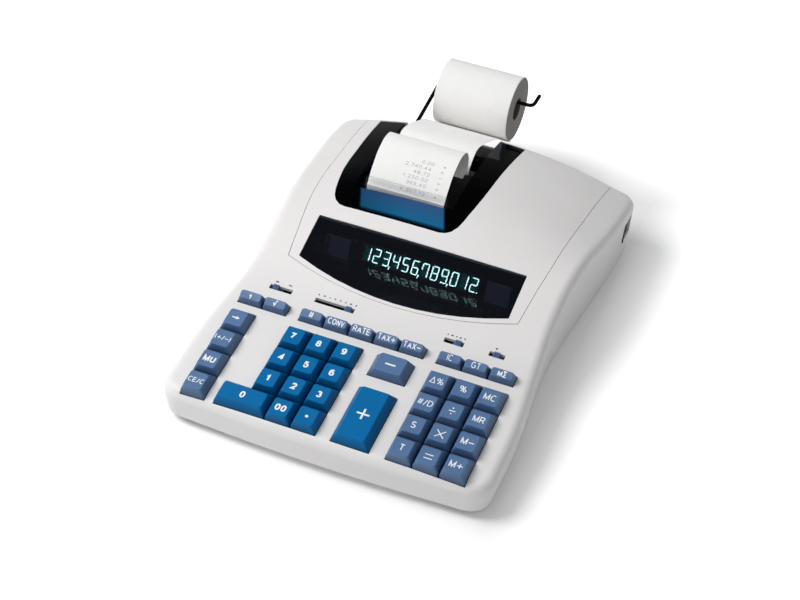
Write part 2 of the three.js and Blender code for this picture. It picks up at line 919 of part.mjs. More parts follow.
function mainBoard() {
  const top = -boardUnderside() + boardThickness;
  const keyBoard = onDeck(blockOf(
    -keyBoardHalfWidth,
    keyBoardHalfWidth,
    keyBoardFront,
    keyBoardFront + keyBoardDepth,
    top - boardThickness,
    top,
  ));
  const rearTop = rearBoardHeight + boardThickness;
  const rearBoard = blockOf(
    rearBoardLeft,
    rearBoardRight,
    rearBoardFront,
    rearBoardRear,
    rearBoardHeight,
    rearTop,
  );
  const cableX = half(rearBoardLeft + rearBoardRight);
  const boardEnd = new THREE.Vector3(0, keyBoardFront + keyBoardDepth, top - half(boardThickness))
    .applyMatrix4(deckFrame);
  const cableStart = new THREE.Vector2(boardEnd.y - boardThickness, boardEnd.z);
  const cableEnd = new THREE.Vector2(rearBoardFront + boardThickness, rearBoardHeight + half(boardThickness));
  const cable = ribbon(
    [cableStart, new THREE.Vector2(cableEnd.x - boardThickness, cableStart.y), cableEnd],
    cableX,
    cableX,
    flatCableWidth,
    flatCableThickness,
    smallSides,
  );
  const coilX = half(rearBoardLeft + rearBoardRight);
  const coilY = rearBoardRear - transformerDepth;
  const coil = blockOf(
    coilX - half(transformerWidth),
    coilX + half(transformerWidth),
    coilY - half(transformerDepth) + transformerCoreOverhang,
    coilY + half(transformerDepth) - transformerCoreOverhang,
    rearTop - half(boardThickness),
    rearTop + transformerHeight,
  );
  const coreBottom = rearTop + half(transformerHeight - transformerCoreHeight);
  const core = blockOf(
    coilX - half(transformerWidth) - transformerCoreOverhang,
    coilX + half(transformerWidth) + transformerCoreOverhang,
    coilY - half(transformerDepth),
    coilY + half(transformerDepth),
    coreBottom,
    coreBottom + transformerCoreHeight,
  );
  return join([keyBoard, rearBoard, cable, coil, core]);
}

// A strip of even thickness along a curve in side view, which may drift sideways on its way
function ribbon(points, startX, endX, width, thickness, steps) {
  const curve = new THREE.SplineCurve(points);
  const rings = Array.from({ length: steps + 1 }, (_, i) => {
    const share = i / steps;
    const at = curve.getPointAt(share);
    const along = curve.getTangentAt(share);
    const out = new THREE.Vector2(-along.y, along.x).multiplyScalar(half(thickness));
    const x = startX + (endX - startX) * smooth(share, driftFrom, driftTo);
    const left = x - half(width);
    const right = x + half(width);
    return [
      new THREE.Vector3(left, at.x - out.x, at.y - out.y),
      new THREE.Vector3(left, at.x + out.x, at.y + out.y),
      new THREE.Vector3(right, at.x + out.x, at.y + out.y),
      new THREE.Vector3(right, at.x - out.x, at.y - out.y),
    ];
  });
  return loft(rings, fanFaces(4));
}

// Printer

const frameLeft = coverX - frameHalfWidth;
const frameRight = coverX + frameHalfWidth;

// A piece of the paper guide, which follows the cover at a distance below it
function underCover(left, right, bottomOf) {
  const across = paperGuideSteps.map((share) => left + (right - left) * share);
  const stops = paperGuideSteps.map((share) => paperGuideFront + (paperGuideRear - paperGuideFront) * share);
  const top = (x, y) => surfaceHeight(x, y) - paperGuideDrop;
  const rings = stops.map((y) => [
    ...across.toReversed().map((x) => new THREE.Vector3(x, y, bottomOf(top(x, y)))),
    ...across.map((x) => new THREE.Vector3(x, y, top(x, y))),
  ]);
  const outline = rings[0].map((point) => new THREE.Vector2(-point.x, point.z));
  return loft(rings, THREE.ShapeUtils.triangulateShape(outline, []));
}

function printerFrame() {
  const sides = [frameLeft, frameRight - framePlate].flatMap((x) => [
    blockOf(x, x + framePlate, frameFront, frameRear, frameBottom, frameTop),
    underCover(x, x + framePlate, () => frameTop - framePlate),
  ]);
  const guide = underCover(frameLeft, frameRight, (height) => height - paperGuideThickness);
  const base = blockOf(
    frameLeft,
    frameRight,
    frameFront,
    frameRear,
    frameBottom,
    frameBottom + frameBaseThickness,
  );
  const bar = blockOf(
    frameLeft,
    frameRight,
    frameRear - crossBarDepth,
    frameRear,
    frameTop - crossBarHeight,
    frameTop,
  );
  const holes = [[rollerAt, rollerHeight], [drumAt, drumHeight]].map(([y, z]) => (
    crosswise(shaftRadius + runningGap, frameLeft - overrun, frameRight + overrun, y, z, smallSides)
  ));
  const socket = upright(
    wireRadius + runningGap,
    wireX,
    wireSocketAt,
    frameTop - wireSocketDepth,
    frameTop + overrun,
  );
  return cut(join([...sides, guide, base, bar]), [...holes, socket]);
}

// A roller on its shaft, turned about X: radius and length of the barrel, and raised rims at its ends
function rollerProfile(barrel, halfLength, rim, rimLength) {
  const shaftEnd = frameHalfWidth + shaftRadius;
  const right = [
    new THREE.Vector2(barrel, 0),
    new THREE.Vector2(barrel, halfLength - rimLength),
    new THREE.Vector2(rim, halfLength - rimLength),
    new THREE.Vector2(rim, halfLength),
    new THREE.Vector2(shaftRadius, halfLength),
    new THREE.Vector2(shaftRadius, shaftEnd),
    new THREE.Vector2(0, shaftEnd),
  ];
  const left = right.slice(1).reverse().map((point) => new THREE.Vector2(point.x, -point.y));
  return [...left, ...right];
}

const turned = (profile, sides) => new THREE.LatheGeometry(profile, sides).rotateZ(-Math.PI / 2);

// Paper: from the roll over the rear edge, round the feed roller, and up past the tear bar in a curl

function paperPath() {
  const clearance = paperThickness;
  const round = rollerRadius + clearance + half(paperThickness);
  const leaving = rollRadius + runningGap + paperThickness;
  const under = new THREE.Vector2(rollerAt, rollerHeight);
  const aroundRoller = (degrees) => {
    const angle = THREE.MathUtils.degToRad(degrees);
    return new THREE.Vector2(under.x + round * Math.cos(angle), under.y + round * Math.sin(angle));
  };
  const offRoll = (degrees) => {
    const angle = THREE.MathUtils.degToRad(degrees);
    return new THREE.Vector2(rollAt + leaving * Math.cos(angle), rollHeight + leaving * Math.sin(angle));
  };
  const supply = [
    offRoll(leavingDegrees + wrapStep),
    offRoll(leavingDegrees),
    ...supplyShares.map(([back, up]) => (
      new THREE.Vector2(rollerAt + supplyReach * back, rollerHeight + supplyRise * up)
    )),
    ...wrapDegrees.map(aroundRoller),
  ];
  const slotZ = surfaceHeight(tapeX, slotFrontAt);
  const tape = [
    new THREE.Vector2(under.x - round, slotZ - half(tapeLead)),
    new THREE.Vector2(slotFrontAt + tapeLead, slotZ),
    ...curlShares.map(([across, up]) => (
      new THREE.Vector2(slotFrontAt + tapeLead + curlDepth * across, slotZ + curlRise * up)
    )),
  ];
  return [...supply, ...tape];
}

const paperTape = () => ribbon(paperPath(), rollX, tapeX, paperWidth, paperThickness, paperSteps);

function paperRoll() {
  const end = half(paperWidth);
  return turned([
    new THREE.Vector2(boreRadius, -end),
    new THREE.Vector2(rollRadius, -end),
    new THREE.Vector2(rollRadius, end),
    new THREE.Vector2(boreRadius, end),
    new THREE.Vector2(boreRadius, -end),
  ], rollSides);
}

// Wire that plugs into the printer's rear bar and carries the roll by its bore

function wireHolder() {
  const axisZ = rollHeight + boreRadius - wireRadius - runningGap;
  const path = new THREE.CurvePath();
  const corners = [
    new THREE.Vector3(wireX, wireSocketAt, frameTop - wireSocketDepth + runningGap),
    new THREE.Vector3(wireX, wireSocketAt, wireShoulderHeight),
    new THREE.Vector3(wireElbowX, rollAt, axisZ),
    new THREE.Vector3(wireEndX, rollAt, axisZ),
    new THREE.Vector3(wireEndX + wireHookReach, rollAt, axisZ + wireHookRise),
  ];
  let from = corners[0];
  for (let i = 1; i < corners.length - 1; i += 1) {
    const corner = corners[i];
    const before = corner.clone().add(corners[i - 1].clone().sub(corner).setLength(wireBendRadius));
    const after = corner.clone().add(corners[i + 1].clone().sub(corner).setLength(wireBendRadius));
    path.add(new THREE.LineCurve3(from, before));
    path.add(new THREE.QuadraticBezierCurve3(before, corner, after));
    from = after;
  }
  path.add(new THREE.LineCurve3(from, corners.at(-1)));
  const circle = new THREE.Shape().absarc(0, 0, wireRadius, 0, Math.PI * 2);
  return new THREE.ExtrudeGeometry(circle, {
    extrudePath: path,
    steps: wireSteps,
    curveSegments: half(smallSides),
    bevelEnabled: false,
  });
}

// Tinted cover, flush with the panel, with a slot for the paper that is open at the back
function printerCover() {
  const sheet = cut(casingBody(lensDrop, partingHeight), [casingBody(wall, partingHeight - overrun)]);
  const piece = common(sheet, prism(coverOutline(half(seamGap)), frameTop - overrun, crestHeight));
  return cut(piece, [paperSlot()]);
}

function tearBar() {
  const front = slotFrontAt + runningGap;
  const top = surfaceHeight(tearX + tearHalfWidth, slotFrontAt);
  const lean = new THREE.Vector2(tearReach, tearRise).normalize();
  const across = new THREE.Vector2(lean.y, -lean.x).multiplyScalar(tearThickness);
  const crest = new THREE.Vector2(front + tearReach, top + tearRise);
  const outline = [
    new THREE.Vector2(front, top - tearLegHeight),
    new THREE.Vector2(front + tearThickness, top - tearLegHeight),
    new THREE.Vector2(front + tearThickness, top),
    crest.clone().add(across),
    crest,
    new THREE.Vector2(front, top + half(tearThickness)),
  ];
  const ring = (x) => outline.map((point) => new THREE.Vector3(x, point.x, point.y));
  const faces = THREE.ShapeUtils.triangulateShape(outline, []);
  const plate = loft([ring(tearX - tearHalfWidth), ring(tearX + tearHalfWidth)], faces);
  const rootHalf = frameHalfWidth - framePlate - runningGap;
  const root = blockOf(
    coverX - rootHalf,
    coverX + rootHalf,
    front,
    front + tearThickness,
    top - tearLegHeight,
    top - tearLegHeight + tearRootHeight,
  );
  return join([plate, root]);
}

// Slide switches: a knob in its slot on a sole that cannot come up through it
function knobGeometry() {
  const knob = (z) => cutRing(
    -half(knobWidth),
    half(knobWidth),
    -half(slotDepth) + runningGap,
    half(slotDepth) - runningGap,
    runningGap,
    z,
  );
  const sole = (z) => cutRing(
    -half(knobSoleWidth),
    half(knobSoleWidth),
    -half(knobSoleDepth),
    half(knobSoleDepth),
    runningGap,
    z,
  );
  const soleTop = -wall - runningGap;
  return loft([
    sole(soleTop - knobSoleHeight),
    sole(soleTop),
    knob(soleTop),
    knob(knobHeight),
  ], fanFaces(8));
}

// Rocker of the power switch: seen from above it is a shallow V, with one end pressed in
function rockerGeometry() {
  const end = half(rockerLength);
  const notch = end * Math.tan(rockerTilt);
  const outline = [
    new THREE.Vector2(rockerProud, -end),
    new THREE.Vector2(rockerProud - notch, 0),
    new THREE.Vector2(rockerProud, end),
    new THREE.Vector2(rockerProud - rockerDepth, half(rockerBackLength)),
    new THREE.Vector2(rockerProud - rockerDepth, -half(rockerBackLength)),
  ];
  const ring = (z) => outline.map((point) => new THREE.Vector3(point.x, point.y, z));
  const faces = THREE.ShapeUtils.triangulateShape(outline, []);
  return loft([ring(-half(rockerWidth)), ring(half(rockerWidth))], faces).rotateZ(rockerTilt);
}

// Finish of each piece

const finish = (colour, roughness, metalness = 0) => (
  () => new THREE.MeshStandardMaterial({ color: colour, roughness, metalness })
);
const casingFinish = finish(0xe4e2e0, 0.55);
const digitFinish = finish(0x0d6cb0, 0.45);
const functionFinish = finish(0x53709a, 0.45);
const knobFinish = finish(0x5872a0, 0.4);
const blackFinish = finish(0x0b0d10, 0.35);
const tintFinish = finish(0x0b1a2c, 0.1);
const clearFinish = finish(0xd8e4ea, 0.1);
const glassFinish = finish(0x14201f, 0.15);
const boardFinish = finish(0x1d5a34, 0.6);
const frameFinish = finish(0x9aa0a4, 0.4, 0.8);
const rubberFinish = finish(0x1a1a1c, 0.8);
const drumFinish = finish(0x50545a, 0.5, 0.3);
const paperFinish = finish(0xf4f3f1, 0.9);
const wireFinish = finish(0x18191b, 0.3, 0.7);
const plateFinish = finish(0x3a3d42, 0.6);

const digitKeys = [...digitRows.flat(), 'key_0', 'key_plus'];

// Assembly

const calculator = new THREE.Group();
const body = new THREE.Group();
const deck = new THREE.Group();
body.position.y = -half(overallDepth);
deck.applyMatrix4(deckFrame);
calculator.add(body);
body.add(deck);

function addPiece(group, name, geometry, material, x = 0, y = 0, z = 0) {
  const mesh = new THREE.Mesh(geometry, material());
  mesh.name = name;
  mesh.position.set(x, y, z);
  group.add(mesh);
}

addPiece(body, 'upper_casing', upperCasing(), casingFinish);
addPiece(body, 'top_panel', topPanel(), casingFinish);
addPiece(body, 'lower_casing', lowerCasing(), casingFinish);
addPiece(body, 'display_window', lens(), blackFinish);
addPiece(body, 'display_tube', displayTube(), glassFinish);
addPiece(body, 'key_guide_plate', guidePlate(), plateFinish);
addPiece(body, 'main_board', mainBoard(), boardFinish);
addPiece(body, 'printer_frame', printerFrame(), frameFinish);
addPiece(
  body,
  'feed_roller',
  turned(rollerProfile(rollerRadius, rollerHalfLength, rollerRadius - paperThickness, shaftRadius), rollerSides),
  rubberFinish,
  coverX,
  rollerAt,
  rollerHeight,
);
addPiece(
  body,
  'print_drum',
  turned(rollerProfile(drumRadius, rollerHalfLength, drumRimRadius, drumRimLength), rollerSides),
  drumFinish,
  coverX,
  drumAt,
  drumHeight,
);
addPiece(body, 'printer_cover', printerCover(), tintFinish);
addPiece(body, 'tear_bar', tearBar(), clearFinish);
addPiece(body, 'paper_tape', paperTape(), paperFinish);
addPiece(body, 'paper_roll', paperRoll(), paperFinish, rollX, rollAt, rollHeight);
addPiece(body, 'roll_holder', wireHolder(), wireFinish);
addPiece(body, 'power_rocker', rockerGeometry(), blackFinish, wallX() - rockerInset, rockerAt, rockerHeight);

for (const [name, { knob }] of Object.entries(slots)) {
  addPiece(deck, name, knobGeometry(), knobFinish, knob, switchRowAt, 0);
}

for (const { name, x, y, type } of keys) {
  const material = digitKeys.includes(name) ? digitFinish : functionFinish;
  addPiece(deck, name, keyGeometry(type), material, x, y, 0);
}

export default calculator;
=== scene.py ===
# Looks of a printing calculator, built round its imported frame.
# Shapes are worked out in millimetres from the middle of the front edge on the desk, as in the
# CAD source, and place() turns them into metres of the shared frame.

import math

import bpy
import bmesh
import numpy as np
from mathutils import Matrix, Vector
from mathutils.bvhtree import BVHTree
from mathutils.interpolate import poly_3d_calc


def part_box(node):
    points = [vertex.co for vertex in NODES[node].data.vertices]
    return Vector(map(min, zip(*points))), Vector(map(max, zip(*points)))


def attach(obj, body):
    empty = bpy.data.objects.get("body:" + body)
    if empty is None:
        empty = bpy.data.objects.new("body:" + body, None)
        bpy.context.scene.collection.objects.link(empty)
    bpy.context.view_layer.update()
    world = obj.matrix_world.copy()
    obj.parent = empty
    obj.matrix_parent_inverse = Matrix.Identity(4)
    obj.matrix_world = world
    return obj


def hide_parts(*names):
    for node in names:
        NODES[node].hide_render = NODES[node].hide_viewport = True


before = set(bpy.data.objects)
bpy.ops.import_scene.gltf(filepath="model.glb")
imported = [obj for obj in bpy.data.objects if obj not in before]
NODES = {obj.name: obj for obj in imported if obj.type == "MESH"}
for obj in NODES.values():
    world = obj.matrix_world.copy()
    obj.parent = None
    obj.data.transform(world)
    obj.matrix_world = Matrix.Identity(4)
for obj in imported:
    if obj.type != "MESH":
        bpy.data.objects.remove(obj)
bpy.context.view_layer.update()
scene = bpy.context.scene
MM = 0.001
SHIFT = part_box("paper_roll")[1].y / MM

# Sizes that the looks share with the CAD source, in millimetres
DECK_FRONT = 26.5
DECK_TILT = math.radians(7)
PANEL_TILT = math.radians(19)
CREASE_AT, CREASE_BLEND = 117, 8
HUMP_FROM, CREST_AT, CREST_HEIGHT = 190, 236, 73.6
REAR_TOP_AT, REAR_TOP_HEIGHT, REAR_SLOPE = 302, 65.3, -0.24
CROWN_RADIUS, CROWN_FROM, CROWN_TO = 332, 160, 250
DEPTH = 308
FRONT_HALF, WAIST_HALF, REAR_HALF = 115.5, 107, 115.7
WAIST_FROM, WAIST_AT, WAIST_TO = 45, 150, 286
CORNER, EDGE, DRAFT = 13, 7, 2.2
BOW, BOW_REACH = 4, 70
SLOT_FRONT = 204.5

# How finely the casing's exact surface is laid out, and when a face counts as part of it
END_STEPS, MIDDLE_STEPS, EDGE_STEPS, TOP_STEPS = 14, 150, 12, 14
ON_SKIN, SAME_WAY, WELD = 0.7 * MM, 0.85, 1e-6


def place(x, y, z):
    return Vector((x * MM, (y - SHIFT) * MM, z * MM))


def deck(x, y, z):
    """A point by its place on the sloping keyboard: across, up the slope, and out of it."""
    c, s = math.cos(DECK_TILT), math.sin(DECK_TILT)
    return place(x, y * c - z * s, DECK_FRONT + y * s + z * c)


def to_deck(v):
    c, s = math.cos(DECK_TILT), math.sin(DECK_TILT)
    y, z = v[1] / MM + SHIFT, v[2] / MM - DECK_FRONT
    return v[0] / MM, y * c + z * s, z * c - y * s


# Upper surface of the casing

def smooth(value, low, high):
    t = min(max((value - low) / (high - low), 0), 1)
    return t * t * (3 - 2 * t)


def bridge(y, y0, z0, slope0, y1, z1, slope1):
    """Height on a cubic curve with given heights and slopes at both ends."""
    span = y1 - y0
    t = (y - y0) / span
    t2, t3 = t * t, t * t * t
    return ((2 * t3 - 3 * t2 + 1) * z0 + (t3 - 2 * t2 + t) * span * slope0
            + (3 * t2 - 2 * t3) * z1 + (t3 - t2) * span * slope1)


def panel_height(y):
    t = min(max((y - CREASE_AT) / CREASE_BLEND, -1), 1)
    turned = max(y - CREASE_AT - CREASE_BLEND, 0) + CREASE_BLEND * (t + 1) ** 2 / 4
    turn = math.tan(PANEL_TILT) - math.tan(DECK_TILT)
    return DECK_FRONT + y * math.tan(DECK_TILT) + turn * turned


def surface(x, y):
    if y < HUMP_FROM:
        ridge = panel_height(y)
    elif y < CREST_AT:
        ridge = bridge(y, HUMP_FROM, panel_height(HUMP_FROM), math.tan(PANEL_TILT),
                       CREST_AT, CREST_HEIGHT, 0)
    else:
        rear = min(y, REAR_TOP_AT)
        ridge = (y - rear) * REAR_SLOPE + bridge(
            rear, CREST_AT, CREST_HEIGHT, 0, REAR_TOP_AT, REAR_TOP_HEIGHT, REAR_SLOPE)
    return ridge - smooth(y, CROWN_FROM, CROWN_TO) * x * x / (2 * CROWN_RADIUS)


def half_width(y):
    return (FRONT_HALF - (FRONT_HALF - WAIST_HALF) * smooth(y, WAIST_FROM, WAIST_AT)
            + (REAR_HALF - WAIST_HALF) * smooth(y, WAIST_AT, WAIST_TO))


def round_off(distance, radius):
    inside = max(radius - distance, 0)
    return radius - math.sqrt(max(radius * radius - inside * inside, 0))


def section(y):
    """The casing's outline from the desk over the top and down again, at one place along it."""
    from_end = min(y, DEPTH - y)
    width = half_width(y) - round_off(from_end, CORNER)
    shoulder, drop = width - EDGE, round_off(from_end, EDGE)
    edge_z = surface(shoulder, y) - drop
    side = []
    for i in range(EDGE_STEPS):
        a = i / EDGE_STEPS * math.pi / 2
        side.append((shoulder + EDGE * math.cos(a), edge_z + EDGE * math.sin(a) - EDGE))
    for i in range(TOP_STEPS, 0, -1):
        x = shoulder * i / TOP_STEPS
        side.append((x, surface(x, y) - drop))
    line = side + [(0, surface(0, y) - drop)] + [(-x, z) for x, z in reversed(side)]
    foot = side[0][0] * (width - DRAFT) / width
    fade = BOW * (1 - smooth(y, 0, BOW_REACH))
    return [(x, y + fade * (x / FRONT_HALF) ** 2, z) for x, z in [(foot, 0), *line, (-foot, 0)]]


def wall_normal(point):
    """Outward direction of the front wall, which bows, or of the straight back wall."""
    if point[1] > 0:
        return Vector((0, 1, 0))
    return Vector((2 * BOW * point[0] / MM / FRONT_HALF ** 2, -1, 0)).normalized()


def skin_guide():
    """The casing's outside as a fine mesh with the direction of the surface at each corner."""
    ends = [CORNER * (1 - math.cos(i / END_STEPS * math.pi / 2)) for i in range(END_STEPS)]
    straight = DEPTH - 2 * CORNER
    middle = [CORNER + straight * i / MIDDLE_STEPS for i in range(MIDDLE_STEPS + 1)]
    rings = [section(y) for y in ends + middle + [DEPTH - e for e in reversed(ends)]]
    n, last = len(rings[0]), len(rings) - 1
    verts = [place(*p) for ring in rings for p in ring]
    tris = []
    for j in range(last):
        for i in range(n - 1):
            a, b, c, d = j * n + i, j * n + i + 1, (j + 1) * n + i + 1, (j + 1) * n + i
            tris += [(a, b, c), (a, c, d)]
    walls_from = len(tris)
    for i in range(1, n - 1):
        tris += [(0, i + 1, i), (last * n, last * n + i, last * n + i + 1)]
    co, t = np.array([tuple(v) for v in verts]), np.array(tris)
    face = np.cross(co[t[:, 1]] - co[t[:, 0]], co[t[:, 2]] - co[t[:, 0]])
    normals = np.zeros_like(co)
    for k in range(3):
        np.add.at(normals, t[:, k], face)
    normals /= np.maximum(np.linalg.norm(normals, axis=1, keepdims=True), 1e-12)
    if normals[len(rings) // 2 * n + n // 2][2] < 0:
        normals = -normals
    for i in (*range(n), *range(len(verts) - n, len(verts))):
        normals[i] = wall_normal(verts[i])
    return BVHTree.FromPolygons(verts, tris), verts, tris, normals, walls_from


GUIDE = skin_guide()


def guided(point):
    """Direction of the casing's surface nearest to a point, and how far off it is."""
    tree, verts, tris, normals, walls_from = GUIDE
    near, _, index, distance = tree.find_nearest(point)
    if index >= walls_from:
        return wall_normal(near), distance
    corners = tris[index]
    weights = poly_3d_calc([verts[i] for i in corners], near)
    normal = sum((Vector(normals[i]) * w for i, w in zip(corners, weights)), Vector())
    return normal.normalized(), distance


def soften(obj, angle, skin):
    """Smooth shading of a CAD node by its own faces, or by the casing's exact surface."""
    mesh = obj.data
    limit = math.cos(math.radians(angle))
    mesh.polygons.foreach_set("use_smooth", [True] * len(mesh.polygons))
    corners = [v.co.copy() for v in mesh.vertices]
    spots = [tuple(round(c / WELD) for c in corner) for corner in corners]
    faces = [(p.normal.copy(), p.area) for p in mesh.polygons]
    around = {}
    for p in mesh.polygons:
        for v in p.vertices:
            around.setdefault(spots[v], set()).add(p.index)
    normals = [Vector((0, 0, 1))] * len(mesh.loops)
    for p in mesh.polygons:
        own = faces[p.index][0]
        exact, distance = guided(p.center) if skin else (own, 1)
        on_skin = distance < ON_SKIN and exact.dot(own) > SAME_WAY
        for loop, v in zip(p.loop_indices, p.vertices):
            if on_skin:
                normals[loop] = guided(corners[v])[0]
                continue
            near = [faces[f] for f in around[spots[v]]]
            total = sum((n * area for n, area in near if n.dot(own) > limit), Vector())
            normals[loop] = total.normalized() if total.length > 0 else own
    mesh.normals_split_custom_set(normals)


# Paints

# Share of light that clear plastic mirrors head-on, and up to what height above the deck, and to
# what share of their colour, the keys' skirts are darkened with painted shade between the keys
HEAD_ON = 0.035
GAP_SHADE_TALL, GAP_SHADE_FACTOR = 6.5 * MM, 0.2


def linear(rgb):
    return [(v / 255 / 12.92) if v / 255 <= 0.04045 else ((v / 255 + 0.055) / 1.055) ** 2.4
            for v in rgb]


def times(colour, factor):
    return [min(c * factor, 1) for c in colour]


class Nodes:
    """Short calls for one node tree, of a material or of the world."""

    def __init__(self, owner, out):
        owner.use_nodes = True
        self.tree = owner.node_tree
        self.tree.nodes.clear()
        self.out = self.add(out)

    def add(self, kind, values=None, **settings):
        node = self.tree.nodes.new("ShaderNode" + kind)
        for name, value in settings.items():
            setattr(node, name, value)
        for name, value in (values or {}).items():
            self.put(node.inputs[name], value)
        return node

    def put(self, socket, value):
        if isinstance(value, bpy.types.NodeSocket):
            self.tree.links.new(value, socket)
        elif socket.type == "RGBA":
            socket.default_value = (*value[:3], 1)
        else:
            socket.default_value = value

    def math(self, operation, *values):
        return self.add("Math", dict(enumerate(values)), operation=operation).outputs[0]

    def vector(self, operation, a, b, output=0):
        return self.add("VectorMath", {0: a, 1: b}, operation=operation).outputs[output]

    def ramp(self, value, low, high, a=0.0, b=1.0):
        return self.add("MapRange", {"Value": value, "From Min": low, "From Max": high,
                                     "To Min": a, "To Max": b}).outputs[0]

    def mix(self, factor, a, b):
        return self.add("Mix", {0: factor, 6: a, 7: b}, data_type="RGBA").outputs[2]

    def blend(self, factor, a, b):
        return self.add("MixShader", {0: factor, 1: a, 2: b}).outputs[0]

    def shader(self, kind, values):
        return self.add(kind, values).outputs[0]

    def show(self, shader):
        self.tree.links.new(shader, self.out.inputs["Surface"])


class Paint(Nodes):
    """One material; its patterns keep to the object's own coordinates."""

    def __init__(self, name):
        self.material = bpy.data.materials.new(name)
        super().__init__(self.material, "OutputMaterial")
        self.where = self.add("TexCoord").outputs["Object"]

    def noise(self, size_mm, detail=2, stretch=(1, 1, 1), distortion=0):
        vector = self.where
        if stretch != (1, 1, 1):
            vector = self.vector("MULTIPLY", vector, stretch)
        return self.add("TexNoise", {"Vector": vector, "Scale": 1 / (size_mm * MM),
                                     "Detail": detail, "Distortion": distortion}).outputs[0]

    def bump(self, height, depth_mm):
        return self.add("Bump", {"Height": height, "Distance": depth_mm * MM,
                                 "Strength": 1.0}).outputs[0]

    def done(self, shader):
        self.show(shader)
        return self.material

    def opaque(self, values):
        return self.done(self.shader("BsdfPrincipled", values))

    def clear(self, through, solid, body, rough, mirror):
        """Clear plastic: light passes straight through all but its body, and mirrors a little."""
        inner = self.blend(body, self.shader("BsdfTransparent", {"Color": through}),
                           self.shader("BsdfDiffuse", {"Color": solid}))
        smear = self.ramp(self.noise(16, 4, distortion=0.6), 0.4, 0.75, *rough)
        gloss = self.shader("BsdfGlossy", {"Color": (mirror,) * 3, "Roughness": smear})
        facing = self.add("LayerWeight", {"Blend": 0.5}).outputs["Facing"]
        rise = self.math("MULTIPLY", 1 - HEAD_ON, self.math("POWER", facing, 5))
        return self.done(self.blend(self.math("ADD", HEAD_ON, rise), inner, gloss))


def plastic(name, rgb, rough, grain=0.02, grain_mm=0.5, mottle=0.03, level=0.5, coat=0.0,
            gap_shade=0.0):
    """Moulded plastic: grain in fine bumps, mottle in faint clouds, and painted shade between the
    keys that darkens their skirts towards the deck.
    """
    p = Paint(name)
    base = linear(rgb)
    shade = p.ramp(p.noise(34, 4), 0.3, 0.7)
    colour = p.mix(shade, times(base, 1 - mottle), times(base, 1 + mottle))
    # Painted shade: the colour darkens towards the deck, for the shadow that falls between the
    # keys.
    if gap_shade:
        up = (0, -math.sin(DECK_TILT), math.cos(DECK_TILT))
        height = p.vector("DOT_PRODUCT", p.where, up, "Value")
        foot = deck(0, 0, 0).dot(Vector(up))
        share = p.ramp(height, foot, foot + GAP_SHADE_TALL, gap_shade, 0)
        colour = p.mix(share, colour, times(base, GAP_SHADE_FACTOR))
    gloss = p.ramp(p.noise(9, 3), 0.25, 0.75, rough - 0.05, rough + 0.06)
    return p.opaque({"Base Color": colour, "Roughness": gloss, "Specular IOR Level": level,
                     "Coat Weight": coat, "Coat Roughness": 0.08,
                     "Normal": p.bump(p.noise(grain_mm, 2), grain)})


def rubber(name, rgb):
    p = Paint(name)
    base = linear(rgb)
    rings = p.add("TexWave", {"Vector": p.where, "Scale": 900, "Distortion": 0.6},
                  bands_direction="X").outputs[0]
    return p.opaque({"Base Color": p.mix(p.ramp(p.noise(3, 4), 0.3, 0.7), base, times(base, 1.7)),
                     "Roughness": p.ramp(p.noise(6, 2), 0.2, 0.8, 0.55, 0.8),
                     "Normal": p.bump(rings, 0.02)})


def steel(name, rgb, rough, metal):
    p = Paint(name)
    base = linear(rgb)
    brush = p.noise(0.6, 3, stretch=(0.06, 1, 1))
    patina = p.ramp(p.noise(14, 4), 0.35, 0.75)
    return p.opaque({"Base Color": p.mix(patina, base, times(base, 0.72)), "Metallic": metal,
                     "Roughness": p.ramp(brush, 0.3, 0.7, rough - 0.08, rough + 0.12),
                     "Normal": p.bump(brush, 0.012)})


def paper(name, rgb):
    p = Paint(name)
    base = linear(rgb)
    fibre = p.noise(0.35, 4, stretch=(1, 0.35, 0.35), distortion=0.4)
    colour = p.mix(p.ramp(p.noise(7, 4), 0.3, 0.7), times(base, 0.97), base)
    colour = p.mix(p.ramp(fibre, 0.62, 0.8, 0, 0.1), colour, times(base, 0.8))
    return p.opaque({"Base Color": colour, "Roughness": 0.86, "Specular IOR Level": 0.2,
                     "Sheen Weight": 0.06, "Normal": p.bump(fibre, 0.012)})


def roll_end(name):
    """Cut edges of a tight paper roll: fine rings of light and shade round the axis."""
    p = Paint(name)
    low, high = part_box("paper_roll")
    axis = (low + high) / 2
    away = p.vector("DISTANCE", p.vector("MULTIPLY", p.where, (0, 1, 1)), (0, axis.y, axis.z),
                    "Value")

    def rings(size_mm, detail):
        return p.add("TexNoise", {"W": p.math("MULTIPLY", away, 1 / (size_mm * MM)),
                                  "Scale": 1.0, "Detail": detail},
                     noise_dimensions="1D").outputs[0]

    fine, broad = rings(0.22, 3), rings(2.4, 2)
    colour = p.mix(p.ramp(fine, 0.3, 0.7), linear((128, 127, 125)), linear((170, 168, 165)))
    colour = p.mix(p.ramp(broad, 0.35, 0.65, 0, 0.4), colour, linear((150, 149, 146)))
    return p.opaque({"Base Color": colour, "Roughness": 0.9, "Specular IOR Level": 0.15,
                     "Normal": p.bump(fine, 0.05)})


def tinted(name, tint, rough, mirror, rgb, body):
    p = Paint(name)
    cloud = p.noise(40, 3)
    base = linear(rgb)
    through = p.mix(p.ramp(cloud, 0.3, 0.7), tint, times(tint, 0.94))
    return p.clear(through, p.mix(cloud, base, times(base, 1.15)), body, (rough, rough + 0.09),
                   mirror)


# Painted glow on the printer cover: a blue zone before the paper's way out stands in for the lit
# paper seen through the tint, with painted shade to its left; where its sides, front and rear fade
# in, in millimetres, and how solid the cover and the zone are
PAPER_GLOW_X, PAPER_GLOW_SLANT, COVER_BODY, PAPER_GLOW_BODY = -28, 0.4, 0.1, 0.62
PAPER_GLOW_SIDES, PAPER_GLOW_FRONT, PAPER_GLOW_REAR = (32.5, 30.5), (186.5, 189.5), (206, 205)
PAPER_GLOW_GRADE, PAPER_GLOW_SHADE_SIDE = (188, 204), (-30, 5)


